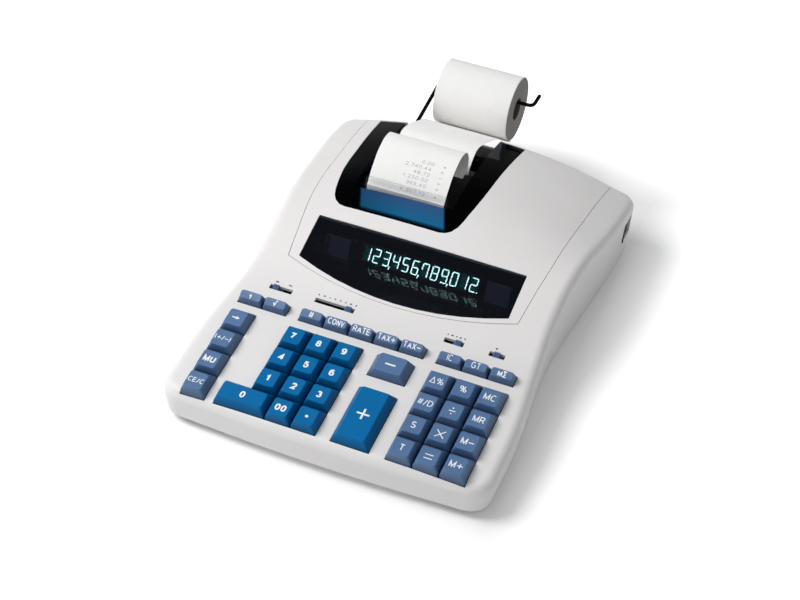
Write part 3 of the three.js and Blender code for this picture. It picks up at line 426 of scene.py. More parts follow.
def cover_plastic(name):
    """Dark tinted plastic, with a painted blue glow before the paper's way out for the lit paper
    seen through it, and painted shade towards its left.
    """
    p = Paint(name)
    split = p.add("SeparateXYZ", {0: p.where}).outputs

    def along(start, stop):
        return p.ramp(split[1], (start - SHIFT) * MM, (stop - SHIFT) * MM)

    leaning = p.math("MULTIPLY", p.math("SUBTRACT", split[1], (SLOT_FRONT - SHIFT) * MM),
                     PAPER_GLOW_SLANT)
    off_middle = p.math("ADD", p.math("SUBTRACT", split[0], PAPER_GLOW_X * MM), leaning)
    across = p.ramp(p.math("ABSOLUTE", off_middle), *(v * MM for v in PAPER_GLOW_SIDES))
    # Painted glow: the lit paper behind the cover is painted into the cover's colour, graded along
    # it and made more solid here.
    paper_glow_zone = p.math("MULTIPLY", across, p.math("MULTIPLY", along(*PAPER_GLOW_FRONT), along(*PAPER_GLOW_REAR)))
    blue = p.mix(along(*PAPER_GLOW_GRADE), linear((30, 128, 178)), linear((64, 104, 160)))
    painted_shade_side = p.ramp(off_middle, *(v * MM for v in PAPER_GLOW_SHADE_SIDE), 0.5, 0)
    blue = p.mix(painted_shade_side, blue, linear((14, 50, 92)))
    solid = p.mix(paper_glow_zone, linear((10, 14, 20)), blue)
    through = p.mix(p.noise(40, 3), (0.07, 0.17, 0.25), (0.06, 0.15, 0.22))
    body = p.ramp(paper_glow_zone, 0, 1, COVER_BODY, PAPER_GLOW_BODY)
    return p.clear(through, solid, body, (0.03, 0.1), 0.6)


def glowing(name, rgb, strength, ghost):
    p = Paint(name)
    level = p.ramp(p.noise(1.4, 2), 0.25, 0.75, strength * 0.88, strength * 1.08)
    colour = p.mix(p.noise(0.6, 2), linear(ghost), times(linear(ghost), 1.5))
    return p.opaque({"Base Color": colour, "Roughness": 0.4, "Emission Color": linear(rgb),
                     "Emission Strength": level})


def circuit(name, rgb):
    p = Paint(name)
    green = linear(rgb)
    tracks = p.add("TexBrick", {"Vector": p.where, "Scale": 120, "Mortar Size": 0.025,
                                "Color1": green, "Color2": times(green, 1.25),
                                "Mortar": times(green, 2)}).outputs[0]
    return p.opaque({"Base Color": tracks,
                     "Roughness": p.ramp(p.noise(5, 3), 0.3, 0.7, 0.25, 0.4),
                     "Normal": p.bump(p.noise(0.8, 2), 0.02)})


CASING = plastic("casing", (231, 229, 228), 0.46, grain_mm=0.45, mottle=0.012)
CASING_LOW = plastic("casing_low", (226, 224, 223), 0.5, 0.03, mottle=0.02)
BLUE = plastic("digit_key", (0, 106, 166), 0.46, 0.01, 0.35, 0.05, level=0.12, gap_shade=0.55)
SLATE = plastic("function_key", (86, 118, 160), 0.42, 0.01, 0.35, 0.05, level=0.35, gap_shade=0.55)
KNOB = plastic("knob", (84, 112, 160), 0.36, 0.008, 0.3, 0.06)
SHADE = plastic("display_black", (8, 9, 12), 0.42, 0.01, 0.5, 0.2, level=0.25)
SHELF = plastic("display_shelf", (6, 8, 10), 0.09, 0.0015, 2.5, 0.2, level=0.7, coat=1.0)
BRACKET = plastic("display_bracket", (104, 104, 124), 0.5, 0.012, 0.5, 0.08, level=0.3)
LEGEND = plastic("legend", (240, 243, 247), 0.42, 0.004, 0.3, 0.02)
INK = plastic("ink", (34, 36, 40), 0.6, 0.002, 0.3, 0.15)
PRINT = plastic("printed_row", (150, 152, 160), 0.7, 0.002, 0.3, 0.2)
GUIDE_PLATE = plastic("guide_plate", (26, 34, 56), 0.6, 0.02, 0.6, 0.12)
BOARD = circuit("circuit_board", (22, 96, 52))
FRAME = steel("steel_frame", (44, 47, 53), 0.46, 0.6)
WIRE = steel("black_wire", (26, 27, 29), 0.24, 0.85)
SCREW = steel("screw", (150, 152, 156), 0.35, 1.0)
RUBBER = rubber("roller_rubber", (26, 26, 28))
DRUM = plastic("drum", (58, 60, 66), 0.45, 0.05, 1.1, 0.1)
PAPER = paper("paper", (246, 245, 243))
ROLL_END = roll_end("roll_end")
CORE = plastic("roll_core", (96, 88, 78), 0.85, 0.03, 0.6, 0.1)
WINDOW = tinted("tinted_window", (0.62, 0.65, 0.69), 0.03, 0.75, (40, 42, 54), 0.16)
COVER = cover_plastic("tinted_cover")
CLEAR = tinted("clear_plastic", (0.985, 0.99, 0.995), 0.02, 0.3, (214, 222, 226), 0.01)
# Painted edge line: grey, half-solid paint on the tear bar's teeth for the light that its clear
# crest bends and mirrors
PAINTED_EDGE_LINE = tinted("painted_edge_line", (0.4, 0.45, 0.5), 0.05, 0.4, (60, 66, 74), 0.45)
GLASS = tinted("tube_glass", (0.80, 0.84, 0.84), 0.05, 0.5, (14, 18, 18), 0.15)
LIT = glowing("lit_segments", (226, 255, 245), 10, (8, 20, 20))
GHOST = glowing("dim_segments", (4, 40, 36), 0.5, (4, 12, 12))
HALO = glowing("cell_glow", (8, 92, 84), 1.7, (4, 24, 22))


# Mesh helpers: a shape is a pair of corners and faces

def piece(name, shape, paint, body="machine", stands_for=(), angle=35):
    mesh = bpy.data.meshes.new(name)
    mesh.from_pydata([tuple(v) for v in shape[0]], [], shape[1])
    mesh.materials.append(paint)
    bm = bmesh.new()
    bm.from_mesh(mesh)
    bmesh.ops.recalc_face_normals(bm, faces=bm.faces)
    bm.to_mesh(mesh)
    bm.free()
    mesh.shade_smooth()
    mesh.set_sharp_from_angle(angle=math.radians(angle))
    obj = bpy.data.objects.new(name, mesh)
    scene.collection.objects.link(obj)
    if body:
        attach(obj, body)
    if stands_for:
        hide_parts(*stands_for)
    return obj


def repaint(obj, paint, chosen):
    """Gives another paint to the faces for which chosen(face) holds."""
    obj.data.materials.append(paint)
    for polygon in obj.data.polygons:
        if chosen(polygon):
            polygon.material_index = 1


def loft(rings, joined=False):
    """A closed skin through rings of equal count, capped, or joined from the last to the first."""
    n, count = len(rings[0]), len(rings)
    verts = [p for ring in rings for p in ring]
    faces = []
    for j in range(count if joined else count - 1):
        here, there = j * n, (j + 1) % count * n
        for i in range(n):
            k = (i + 1) % n
            faces.append((here + i, here + k, there + k, there + i))
    if not joined:
        faces += [tuple(reversed(range(n))), tuple(range((count - 1) * n, count * n))]
    return verts, faces


def merge(*shapes):
    verts, faces = [], []
    for v, f in shapes:
        start = len(verts)
        verts += list(v)
        faces += [tuple(i + start for i in face) for face in f]
    return verts, faces


def arc(cx, cy, rx, ry, start, stop, steps=12):
    turn = [math.radians(start + (stop - start) * i / steps) for i in range(steps + 1)]
    return [(cx + rx * math.cos(a), cy + ry * math.sin(a)) for a in turn]


def round_rect(left, right, front, rear, radius, steps=5):
    l, r, f, b = left + radius, right - radius, front + radius, rear - radius
    out = []
    for cx, cy, start in ((r, f, -90), (r, b, 0), (l, b, 90), (l, f, 180)):
        out += arc(cx, cy, radius, radius, start, start + 90, steps)
    return out


def block(x0, x1, y0, y1, z0, z1, put=place, bevel=0.25):
    """A box with small chamfers on every edge."""
    rings = []
    for z, inset in ((z0, bevel), (z0 + bevel, 0), (z1 - bevel, 0), (z1, bevel)):
        outline = round_rect(x0 + inset, x1 - inset, y0 + inset, y1 - inset, bevel * 1.2, 1)
        rings.append([put(x, y, z) for x, y in outline])
    return loft(rings)


def circle(sides):
    """Cosine and sine of equal steps round a circle."""
    return [(math.cos(a), math.sin(a)) for a in (2 * math.pi * k / sides for k in range(sides))]


def sweep(points, radius, sides=18, cap_rings=3):
    """A round bar along a line of points, with rounded ends."""
    last = len(points) - 1
    tangents = [(points[min(i + 1, last)] - points[max(i - 1, 0)]).normalized()
                for i in range(last + 1)]
    caps = [math.pi / 2 * (k + 0.35) / cap_rings for k in range(cap_rings)]
    stations = [(0, -math.cos(a), math.sin(a)) for a in caps]
    stations += [(i, 0, 1) for i in range(last + 1)]
    stations += [(last, math.cos(a), math.sin(a)) for a in reversed(caps)]
    side = tangents[0].orthogonal().normalized()
    rings = []
    for i, ahead, share in stations:
        along = tangents[i]
        side = (side - along * side.dot(along)).normalized()
        up = along.cross(side).normalized()
        centre = points[i] + along * radius * ahead
        rings.append([centre + (side * c + up * s) * radius * share for c, s in circle(sides)])
    return loft(rings)


# Legends: each sign, its width and its strokes, in hundredths of a capital's height.
# x,y is a point, and x,y,rx,ry,from,to or x,y,rx,ry,from,to,steps an arc, which leaves out its
# first point after a ~. A stroke is a line, a closed loop, or solid. _ is the space.
SIGNS = """
0 56 loop 28,64,28,36,0,180 ~28,36,28,36,180,360
1 44 2,76 20,83 32,100 32,0
2 56 28,71,28,29,168,-38 0,0 58,0
3 56 27,75,24,25,160,-90 | 27,26,29,26,90,-160
4 60 42,0 42,100 0,28 60,28
5 56 52,100 10,100 5,50 27,33,29,33,130,-155
6 57 30,66,30,34,42,180 0,32 | loop 28.5,31,28.5,31,0,345,23
7 56 0,100 56,100 20,0
8 56 loop 28,76,23.5,24,0,345,23 | loop 28,26,28,26,0,345,23
9 57 27,34,30,34,222,360 57,68 | loop 28.5,69,28.5,31,0,345,23
A 66 0,0 33,100 66,0 | 12,34 54,34
C 66 36,50,36,50,48,312,20
D 62 loop 0,0 0,100 27,100 ~27,50,35,50,90,-90,16
E 54 54,100 0,100 0,0 54,0 | 0,52 50,52
F 52 52,100 0,100 0,0 | 0,52 46,52
G 70 36,50,36,50,50,325,20 70,46 40,46
I 0 0,0 0,100
M 72 0,0 0,100 36,8 72,100 72,0
N 58 0,0 0,100 58,0 58,100
O 74 loop 37,50,37,50,0,345,23
P 57 0,0 0,100 32,100 32,74,25,26,90,-90 0,48
R 58 0,0 0,100 32,100 32,74,25,26,90,-90 0,48 | 33,48 58,0
S 58 29,75,25,25,25,270 ~29,25,29,25,90,-155
T 60 0,100 60,100 | 30,100 30,0
U 58 0,100 29,29,29,29,180,360 58,100
V 64 0,100 32,0 64,100
X 62 0,0 62,100 | 0,100 62,0
+ 78 0,46 78,46 | 39,7 39,85
- 72 0,46 72,46
* 50 25,20 25,80 | 0,35 50,65 | 0,65 50,35
x 62 0,12 62,74 | 0,74 62,12
: 62 0,50 62,50 | solid 31,84,7.5,7.5,0,337.5,15 | solid 31,16,7.5,7.5,0,337.5,15
= 62 0,62 62,62 | 0,28 62,28
% 84 loop 17,76,17,22,0,345,23 | loop 67,24,17,22,0,345,23 | 20,0 64,100
# 66 12,0 24,100 | 42,0 54,100 | 0,32 62,32 | 4,68 66,68
/ 34 0,-3 34,103
( 16 52,50,50,85,138,222
) 16 -36,50,50,85,42,-42
. 0 solid 0,50,10,10,0,337.5,15
, 10 8,8 0,-18
p 10 solid 4,3,9,9,0,337.5,15
r 66 0,44 10,52 24,6 50,100 66,100
s 58 56,100 0,100 33,50 0,0 58,0
d 66 loop 0,0 33,100 66,0
> 95 0,50 60,50 | solid 50,20 95,50 50,80
^ 60 30,-10 30,70 | solid 0,45 60,45 30,110
v 60 30,110 30,30 | solid 60,55 0,55 30,-10
_ 30
"""


def stroke(text):
    """Kind and points of one stroke of a sign."""
    words = text.split()
    kind = words.pop(0) if words[0] in ("loop", "solid") else "line"
    points = []
    for word in words:
        values = [float(v) for v in word.strip("~").split(",")]
        sizes, turn = [v / 100 for v in values[:4]], values[4:]
        if turn:
            curve = arc(*sizes, *turn[:2], *map(int, turn[2:]))
            points += curve[1:] if word.startswith("~") else curve
        else:
            points.append(tuple(sizes))
    return kind, points


GLYPHS = {}
for sign_line in SIGNS.split("\n")[1:-1]:
    sign, sign_width, *sign_strokes = sign_line.split(" ", 2)
    GLYPHS[sign.replace("_", " ")] = (
        int(sign_width) / 100, [stroke(text) for part in sign_strokes for text in part.split("|")])
STROKE_STEP, SHARPEST_MITRE = 1.2, 0.45


def ribbon(line, width, closed):
    """A flat band of one width along a line, as a thin solid with heights 0 and 1."""
    fine = []
    for a, b in zip(line, line[1:] + (line[:1] if closed else [])):
        parts = max(1, math.ceil(math.dist(a, b) / STROKE_STEP))
        fine += [tuple(p + (q - p) * k / parts for p, q in zip(a, b)) for k in range(parts)]
    fine = [Vector(p) for p in fine + ([] if closed else line[-1:])]
    rings = []
    for i, here in enumerate(fine):
        before = fine[i - 1] if closed or i else here
        after = fine[(i + 1) % len(fine)] if closed or i < len(fine) - 1 else here
        steps = [step.normalized() for step in (here - before, after - here) if step.length > 0]
        along = sum(steps, Vector((0, 0))).normalized()
        half = width / 2 / max(along.dot(steps[0]), SHARPEST_MITRE)
        out = Vector((-along.y, along.x)) * half
        rings.append([(*(here + out * side), h) for side, h in ((1, 1), (1, 0), (-1, 0), (-1, 1))])
    return loft(rings, joined=closed)


def glyphs(text, tall, bold, stretch=1.0, gap=0.11, align="CENTER"):
    """A line of signs as thin solids, in millimetres, about its own middle or right end."""
    scale = tall - bold
    parts = []
    left = 0
    for sign in text:
        wide, strokes = GLYPHS[sign]
        for kind, points in strokes:
            placed = [(left + x * scale * stretch, (y - 0.5) * scale) for x, y in points]
            if kind == "solid":
                parts.append(loft([[(x, y, h) for x, y in placed] for h in (0, 1)]))
            else:
                parts.append(ribbon(placed, bold, kind == "loop"))
        left += wide * scale * stretch + bold + gap * tall
    verts, faces = merge(*parts)
    low, high = min(v[0] for v in verts), max(v[0] for v in verts)
    middle = (low + high) / 2 if align == "CENTER" else high
    return [(x - middle, y, h) for x, y, h in verts], faces


# Camera, light and desk

CAMERA_AT, CAMERA_LOOK = (0.33660, -0.93117, 0.86283), (-0.26791, 0.70545, -0.65618)
CAMERA_UP, CAMERA_REACH = (-0.28001, 0.59467, 0.75365), 50
SENSOR_MM, LENS_MM = 36, 83.37
LAMP_AT, LAMP_TARGET, LAMP_UP = (-0.80, -0.36, 1.12), (0, 0, 0.03), (0, 0.1, 1)
LAMP_WIDE, LAMP_WATTS = 0.8, 14.9
DESK_HALF, DESK_TILES = 4.0, 8
# Painted shadow on the desk: the box round the machine, how far out from it the desk's glow rises,
# and the glow's lowest and highest strength
PAINTED_SHADOW_BOX, PAINTED_SHADOW_REACH, PAINTED_SHADOW_GLOW = (0.115, 0.18, 0), 0.055, (0.1, 0.62)
SOFT_LIGHT, MIRRORED_UP, MIRRORED_GLOW = 0.38, (0.05, 0.7), (0.42, 0.04)


def stand(data, at, look, up):
    """Puts a camera or a lamp into the scene, turned to look along a direction."""
    obj = bpy.data.objects.new(data.name, data)
    scene.collection.objects.link(obj)
    look, up = Vector(look).normalized(), Vector(up)
    right = look.cross(up).normalized()
    turn = Matrix((right, right.cross(look), -look)).transposed().to_4x4()
    obj.matrix_world = Matrix.Translation(at) @ turn
    return obj


def camera():
    data = bpy.data.cameras.new("camera")
    data.sensor_width, data.lens, data.clip_end = SENSOR_MM, LENS_MM, CAMERA_REACH
    scene.camera = stand(data, CAMERA_AT, CAMERA_LOOK, CAMERA_UP)
    scene.view_settings.view_transform = "Standard"


def lamp():
    data = bpy.data.lights.new("key_lamp", "AREA")
    data.shape, data.size, data.energy = "DISK", LAMP_WIDE, LAMP_WATTS
    stand(data, LAMP_AT, Vector(LAMP_TARGET) - Vector(LAMP_AT), LAMP_UP)


def studio():
    """White for the camera, a low grey glow for mirrored light, and soft light for the rest."""
    scene.world = bpy.data.worlds.new("studio")
    n = Nodes(scene.world, "OutputWorld")
    ray = n.add("LightPath").outputs
    up = n.add("SeparateXYZ", {0: n.add("TexCoord").outputs["Generated"]}).outputs["Z"]
    mirrored = n.shader("Background", {"Strength": n.ramp(up, *MIRRORED_UP, *MIRRORED_GLOW)})
    soft = n.shader("Background", {"Color": (0.98, 0.99, 1), "Strength": SOFT_LIGHT})
    white = n.shader("Background", {"Color": (1, 1, 1), "Strength": 1})
    n.show(n.blend(ray["Is Camera Ray"], n.blend(ray["Is Glossy Ray"], soft, mirrored), white))


def desk_top():
    """A white desk with a painted shadow: its glow for camera and mirrored rays is low next to the
    machine and rises away from it, so that it meets the backdrop.
    """
    p = Paint("floor")
    ray = p.add("LightPath").outputs
    seen = p.math("MAXIMUM", ray["Is Camera Ray"],
                  p.math("MAXIMUM", ray["Is Glossy Ray"], ray["Is Transmission Ray"]))
    base = p.mix(p.noise(60, 3), (0.87, 0.87, 0.875), (0.89, 0.89, 0.89))
    beside = p.where
    # Painted shadow: the distance from the box round the machine sets how much the desk glows.
    for operation, value in (("ABSOLUTE", (0, 0, 0)), ("SUBTRACT", PAINTED_SHADOW_BOX),
                             ("MAXIMUM", (0, 0, 0))):
        beside = p.vector(operation, beside, value)
    away = p.vector("LENGTH", beside, (0, 0, 0), "Value")
    shadow_fade = p.ramp(away, 0, PAINTED_SHADOW_REACH, *PAINTED_SHADOW_GLOW)
    glow = p.shader("Emission", {"Color": (1, 1, 1), "Strength": p.math("MULTIPLY", seen, shadow_fade)})
    matte = p.shader("BsdfDiffuse", {"Color": base})
    paint = p.done(p.shader("AddShader", {0: matte, 1: glow}))
    line = np.linspace(-DESK_HALF, DESK_HALF, DESK_TILES + 1)
    n = len(line)
    starts = [j * n + i for j in range(DESK_TILES) for i in range(DESK_TILES)]
    faces = [(a, a + 1, a + n + 1, a + n) for a in starts]
    obj = piece("desk_top", ([(x, y, 0) for y in line for x in line], faces), paint, body=None)
    if obj.data.polygons[0].normal.z < 0:
        obj.data.flip_normals()


camera()
lamp()
studio()
desk_top()


# Carried-over CAD nodes: paint and shading

def finish(node, paint, angle=35, skin=False):
    obj = NODES[node]
    obj.data.materials.clear()
    obj.data.materials.append(paint)
    soften(obj, angle, skin)


FRAME_BLACK_ABOVE = 51 * MM
finish("upper_casing", CASING, skin=True)
finish("top_panel", CASING, skin=True)
finish("lower_casing", CASING_LOW)
finish("display_window", WINDOW, skin=True)
finish("printer_cover", COVER, skin=True)
finish("key_guide_plate", GUIDE_PLATE)
finish("main_board", BOARD)
finish("printer_frame", FRAME)
repaint(NODES["printer_frame"], SHADE, lambda face: face.center.z > FRAME_BLACK_ABOVE)
finish("feed_roller", RUBBER, 40)
finish("print_drum", DRUM, 40)
finish("power_rocker", SHADE, 20)


# Keys

# Each key, its sign, and the sign's capital height, stroke and stretch across
LEGENDS = """
0 0 4.9 1 1
00 00 4.9 1 1
point . 11 1 1
plus + 11.5 1.15 1
minus - 10.5 1.1 1
feed ^ 3.6 0.5 1
root r 3.7 0.5 1.25
backspace > 5.6 0.85 1.15
sign (+/-) 3.6 0.5 0.94
margin MU 4.9 0.9 1.05
clear CE/C 3.7 0.48 1
nonadd # 3.8 0.45 1.3
convert CONV 3.4 0.48 1
rate RATE 3.6 0.5 1.1
tax_plus TAX+ 3.5 0.5 1.05
tax_minus TAX- 3.5 0.5 1.05
ic IC 3.6 0.42 1.1
gt GT 3.6 0.42 1.1
m_sigma Ms 3.6 0.6 1.1
delta_percent d% 4.9 0.5 1.05
percent % 4.9 0.6 1.1
mc MC 4.9 0.6 1
hash #/D 4.6 0.5 1.05
divide : 7.2 0.6 1
mr MR 4.9 0.6 1
subtotal S 4.9 0.6 1
multiply x 9.5 0.6 1
m_minus M- 4.9 0.65 1.05
total T 4.9 0.6 1
equals = 9 0.6 1
m_plus M+ 4.9 0.65 1.05
1 1 4.9 1 1.05
2 2 4.9 1 1.05
3 3 4.9 1 1.05
4 4 4.9 1 1.05
5 5 4.9 1 1.05
6 6 4.9 1 1.05
7 7 4.9 1 1.05
8 8 4.9 1 1.05
9 9 4.9 1 1.05
"""
BLUE_KEYS = set("0123456789") | {"00", "point", "plus"}
LEANING = set("feed root nonadd convert rate tax_plus tax_minus ic gt m_sigma".split())

# A cap from its sunk skirt over the foot, where its walls start to lean in, to the dished top
SKIRT_Z, SILL_Z, FOOT_Z, NEAR_LEVEL = -3.0, 0.5, 0.8, 0.2
BEND_FROM, BEND_STEPS, SHOULDER, RIM_RADIUS, DISH = 0.92, 6, 0.35, 1.6, 0.22
FOOT_ROUND, TOP_ROUND = 1.2, 1.9
RISE_STEPS, DISH_STEPS = (0.02, 0.3, 0.6, BEND_FROM), (0.93, 0.8, 0.6, 0.35, 0.1)
SIGN_SCALE, SIGN_BOLD, LEAN_DROP = 1.08, 1.2, 2.2

# How far signs lie under and over what they are printed on
KEY_SIGN_LIFT, MARK_LIFT, PRINT_LIFT = (-0.2, 0.03), (-0.1, 0.04), (-0.05, 0.02)


def spread(pts):
    """Left, right, front and rear of an array of points."""
    return pts[:, 0].min(), pts[:, 0].max(), pts[:, 1].min(), pts[:, 1].max()


def on_deck(node):
    """Corners of a CAD node as places on the keyboard, and the height of the highest."""
    pts = np.array([to_deck(v.co) for v in NODES[node].data.vertices])
    return pts, pts[:, 2].max()


def cap_profile(height):
    """Steps up a cap's side: share of the way in to the top, height, and inset at the rim."""
    rise = height - FOOT_Z
    profile = [(0, SKIRT_Z, 0), (0, SILL_Z, 0)]
    profile += [(u, FOOT_Z + rise * u, 0) for u in RISE_STEPS]
    for i in range(1, BEND_STEPS + 1):
        t = i / BEND_STEPS
        bend = 1 - (1 - t) ** 2
        z = (1 - bend) * (FOOT_Z + rise * BEND_FROM) + bend * height
        profile.append((BEND_FROM + (1 - BEND_FROM) * bend, z, SHOULDER * t * t))
    return profile


def dished(height, t):
    """Height of a key's top at a share t of the way from its middle to its rim."""
    return height - DISH * (1 - t * t)


def key_cap(key, words, tall, bold, stretch):
    node = "key_" + key
    pts, height = on_deck(node)
    base, top = (spread(pts[np.abs(pts[:, 2] - z) < NEAR_LEVEL]) for z in (FOOT_Z, height))
    lean = LEAN_DROP if key in LEANING else 0

    def leaning(x, y, z):
        """A cap's point, lowered towards the front where the key's top leans."""
        up = min(max((z - FOOT_Z) / (height - FOOT_Z), 0), 1)
        return deck(x, y, z - lean * up * smooth(y, top[3], top[2]))

    rings = []
    for u, z, inset in cap_profile(height):
        l, r, f, b = (foot + (rim - foot) * u for foot, rim in zip(base, top))
        outline = round_rect(l + inset, r - inset, f + inset, b - inset,
                             FOOT_ROUND + (TOP_ROUND - FOOT_ROUND) * u - inset / 2)
        rings.append([leaning(x, y, z) for x, y in outline])
    l, r, f, b = top[0] + SHOULDER, top[1] - SHOULDER, top[2] + SHOULDER, top[3] - SHOULDER
    cx, cy = (l + r) / 2, (f + b) / 2
    for t in DISH_STEPS:
        rings.append([leaning(cx + (x - cx) * t, cy + (y - cy) * t, dished(height, t))
                      for x, y in round_rect(l, r, f, b, RIM_RADIUS)])
    blue = key in BLUE_KEYS
    piece(node + "_cap", loft(rings), BLUE if blue else SLATE, node + "_body",
          (node,), angle=50)

    marks, faces = glyphs(words, tall * SIGN_SCALE, bold * SIGN_BOLD, stretch)
    placed = []
    for x, y, z in marks:
        t = min(2 * max(abs(x) / (r - l), abs(y) / (b - f)), 1)
        placed.append(leaning(cx + x, cy + y, dished(height, t) + KEY_SIGN_LIFT[z]))
    piece(node + "_legend", (placed, faces), LEGEND, node + "_body", angle=30)


for row in LEGENDS.split("\n")[1:-1]:
    key_name, words, *sizes = row.split()
    key_cap(key_name, words, *map(float, sizes))


# Slide switches: ridged knobs, the strips under their slots, and the marks behind them

# Left and right end of each slot, and its marks
SLOTS = {"slider_print": (-85.2, -68.5, "P . N"),
         "slider_decimal": (-51.4, -22.6, "A 0 1 2 3 4 6 F"),
         "slider_rounding": (42.4, 56.3, "^5/4v"), "slider_total": (74.3, 85.3, "s .")}
SWITCH_ROW, MARKS_BEHIND = 111.2, 4.6
SOLE_BELOW, RIDGES, RIDGE_HALF, RIDGE_IN = -2.5, (0.17, 0.5, 0.83), 0.13, 0.15
RIDGE_TALL, RIDGE_BARE = 1.2, 0.9
SHIELD_OVER, SHIELD_HALF, SHIELD_Z = 1.5, 3, (-5.4, -4.8)
MARK_TALL, MARK_STROKE, MARK_GAP, MOST_SPREAD = 2.6, 0.64, 0.28, 1.25


def knob(node):
    pts, top = on_deck(node)
    sole = pts[pts[:, 2] < SOLE_BELOW]
    x0, x1, y0, y1 = spread(pts[pts[:, 2] > top - NEAR_LEVEL])
    parts = [block(x0, x1, y0, y1, sole[:, 2].max() - 0.1, top - RIDGE_BARE, deck, 0.2)]
    width = x1 - x0
    for share in RIDGES:
        left, right = x0 + width * (share - RIDGE_HALF), x0 + width * (share + RIDGE_HALF)
        parts.append(block(left, right, y0 + RIDGE_IN, y1 - RIDGE_IN, top - RIDGE_TALL, top,
                           deck, 0.22))
    parts.append(block(*spread(sole), sole[:, 2].min(), sole[:, 2].max(), deck, 0.15))
    piece(node + "_knob", merge(*parts), KNOB, node + "_body", (node,), angle=30)


def on_casing(x, y, lift):
    """A point above the casing over a place on the deck."""
    along = deck(x, y, 0).y / MM + SHIFT
    return place(x, along, surface(x, along) + lift)


for slider in SLOTS:
    knob(slider)
piece("switch_shields", merge(*(
    block(left - SHIELD_OVER, right + SHIELD_OVER, SWITCH_ROW - SHIELD_HALF,
          SWITCH_ROW + SHIELD_HALF, *SHIELD_Z, deck, 0.1)
    for left, right, _ in SLOTS.values())), SHADE)
for slider, (left, right, words) in SLOTS.items():
    marks, mark_faces = glyphs(words, MARK_TALL, MARK_STROKE, gap=MARK_GAP)
    wide = max(p[0] for p in marks) - min(p[0] for p in marks)
    squeeze = min((right - left) / wide, MOST_SPREAD)
    placed = [on_casing((left + right) / 2 + x * squeeze, SWITCH_ROW + MARKS_BEHIND + y,
                        MARK_LIFT[z]) for x, y, z in marks]
    piece(slider + "_marks", (placed, mark_faces), INK, angle=30)


# Display: tube with its segments, and the dark shelf, walls and brackets round it

TUBE_TILT = math.radians(65)
TUBE_LOW, TUBE_HIGH = (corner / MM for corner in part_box("display_tube"))
TUBE_X = TUBE_HIGH.x
TUBE_Y, TUBE_Z = (TUBE_LOW.y + TUBE_HIGH.y) / 2 + SHIFT, (TUBE_LOW.z + TUBE_HIGH.z) / 2
TUBE_UP, TUBE_OUT = 11.5, 3


def on_tube(x, up, out):
    """A point by its place on the tube: across, up the face, and out of its middle plane."""
    c, s = math.cos(TUBE_TILT), math.sin(TUBE_TILT)
    return place(x, TUBE_Y + up * c - out * s, TUBE_Z + up * s + out * c)


def tube_layer(shrink, low, high, bevel):
    x, up = TUBE_X - shrink, TUBE_UP - shrink
    return block(-x, x, -up, up, low, high, on_tube, bevel)


piece("tube_body", tube_layer(0, -TUBE_OUT, TUBE_OUT - 1.1, 0.5), SHADE,
      stands_for=("display_tube",))
piece("tube_face", tube_layer(0.6, TUBE_OUT - 0.6, TUBE_OUT, 0.2), GLASS)

# Twelve cells with a thirteenth, dark one to their left; LEAN is how far the digits slant
CELLS, PITCH, FIRST_RIGHT, DIGIT_MIDDLE = 12, 7.17, -34.0, 4.6
CELL, TALL, STROKE, LEAN, GAP = 4.3, 9.7, 0.72, 0.095, 0.10
FIGURES = "123456789012"
SHOWN = {"0": "abcdef", "1": "bc", "2": "abged", "3": "abgcd", "4": "fgbc", "5": "afgcd",
         "6": "afgecd", "7": "fabc", "8": "abcdefg", "9": "abcdfg"}
COMMAS, POINT = (2, 5, 8), 11

# Point and comma's tail from the lower right corner of a cell, and how far its glow reaches out
POINT_BOX = (0.75, 1.65, -0.45, 0.45)
TAIL = ((1.1, -0.4), (1.7, -0.4), (1.15, -2.0), (0.7, -2.0))
HALO_ACROSS, HALO_UP = 0.8, 0.9

# Depths behind the face of the tube: low and high side of each kind of layer
LIT_DEPTH, DIM_DEPTH, TAIL_DEPTH = (-1.0, -0.75), (-1.05, -0.85), (-1.0, -0.76)
HALO_DEPTH = (-1.095, -1.06)


def segment(a, b):
    """A bar with pointed ends between two points of a cell."""
    a, b = Vector(a), Vector(b)
    along = (b - a).normalized()
    a, b = a + along * GAP, b - along * GAP
    half = along * STROKE / 2
    out = Vector((-half.y, half.x))
    return [a, a + half - out, b - half - out, b, b - half + out, a + half + out]


def cell_segments(right):
    left, h = right - CELL, TALL / 2
    ends = {"a": ((left, h), (right, h)), "b": ((right, h), (right, 0)),
            "c": ((right, 0), (right, -h)), "d": ((left, -h), (right, -h)),
            "e": ((left, 0), (left, -h)), "f": ((left, h), (left, 0)),
            "g": ((left, 0), (right, 0))}
    return {name: segment(a, b) for name, (a, b) in ends.items()}


def on_face(outline, depths):
    """A thin layer in the tube; its outline slants as the digits do."""
    slanted = [(x + y * LEAN, y + DIGIT_MIDDLE) for x, y in outline]
    return loft([[on_tube(x, y, TUBE_OUT + depth) for x, y in slanted] for depth in depths])


def display_digits():
    lit, dim, halo = [], [], []
    for index in range(-1, CELLS):
        shown = SHOWN[FIGURES[index]] if index >= 0 else ""
        for name, outline in cell_segments(FIRST_RIGHT + PITCH * index).items():
            if name in shown:
                lit.append(on_face(outline, LIT_DEPTH))
            else:
                dim.append(on_face(outline, DIM_DEPTH))
    for index in range(CELLS):
        right, low = FIRST_RIGHT + PITCH * index, -TALL / 2
        l, r, f, b = POINT_BOX
        point = round_rect(right + l, right + r, low + f, low + b, 0.3, 2)
        tail = [(right + x, low + y) for x, y in TAIL]
        comma = index in COMMAS
        (lit if comma or index == POINT else dim).append(on_face(point, LIT_DEPTH))
        (lit if comma else dim).append(on_face(tail, TAIL_DEPTH))
        cell = round_rect(right - CELL - HALO_ACROSS, right + HALO_ACROSS, low - HALO_UP,
                          HALO_UP - low, 0.4, 3)
        halo.append(on_face(cell, HALO_DEPTH))
    piece("tube_cell_glow", merge(*halo), HALO)
    piece("tube_digits", merge(*lit), LIT)
    piece("tube_dim_segments", merge(*dim), GHOST)


display_digits()

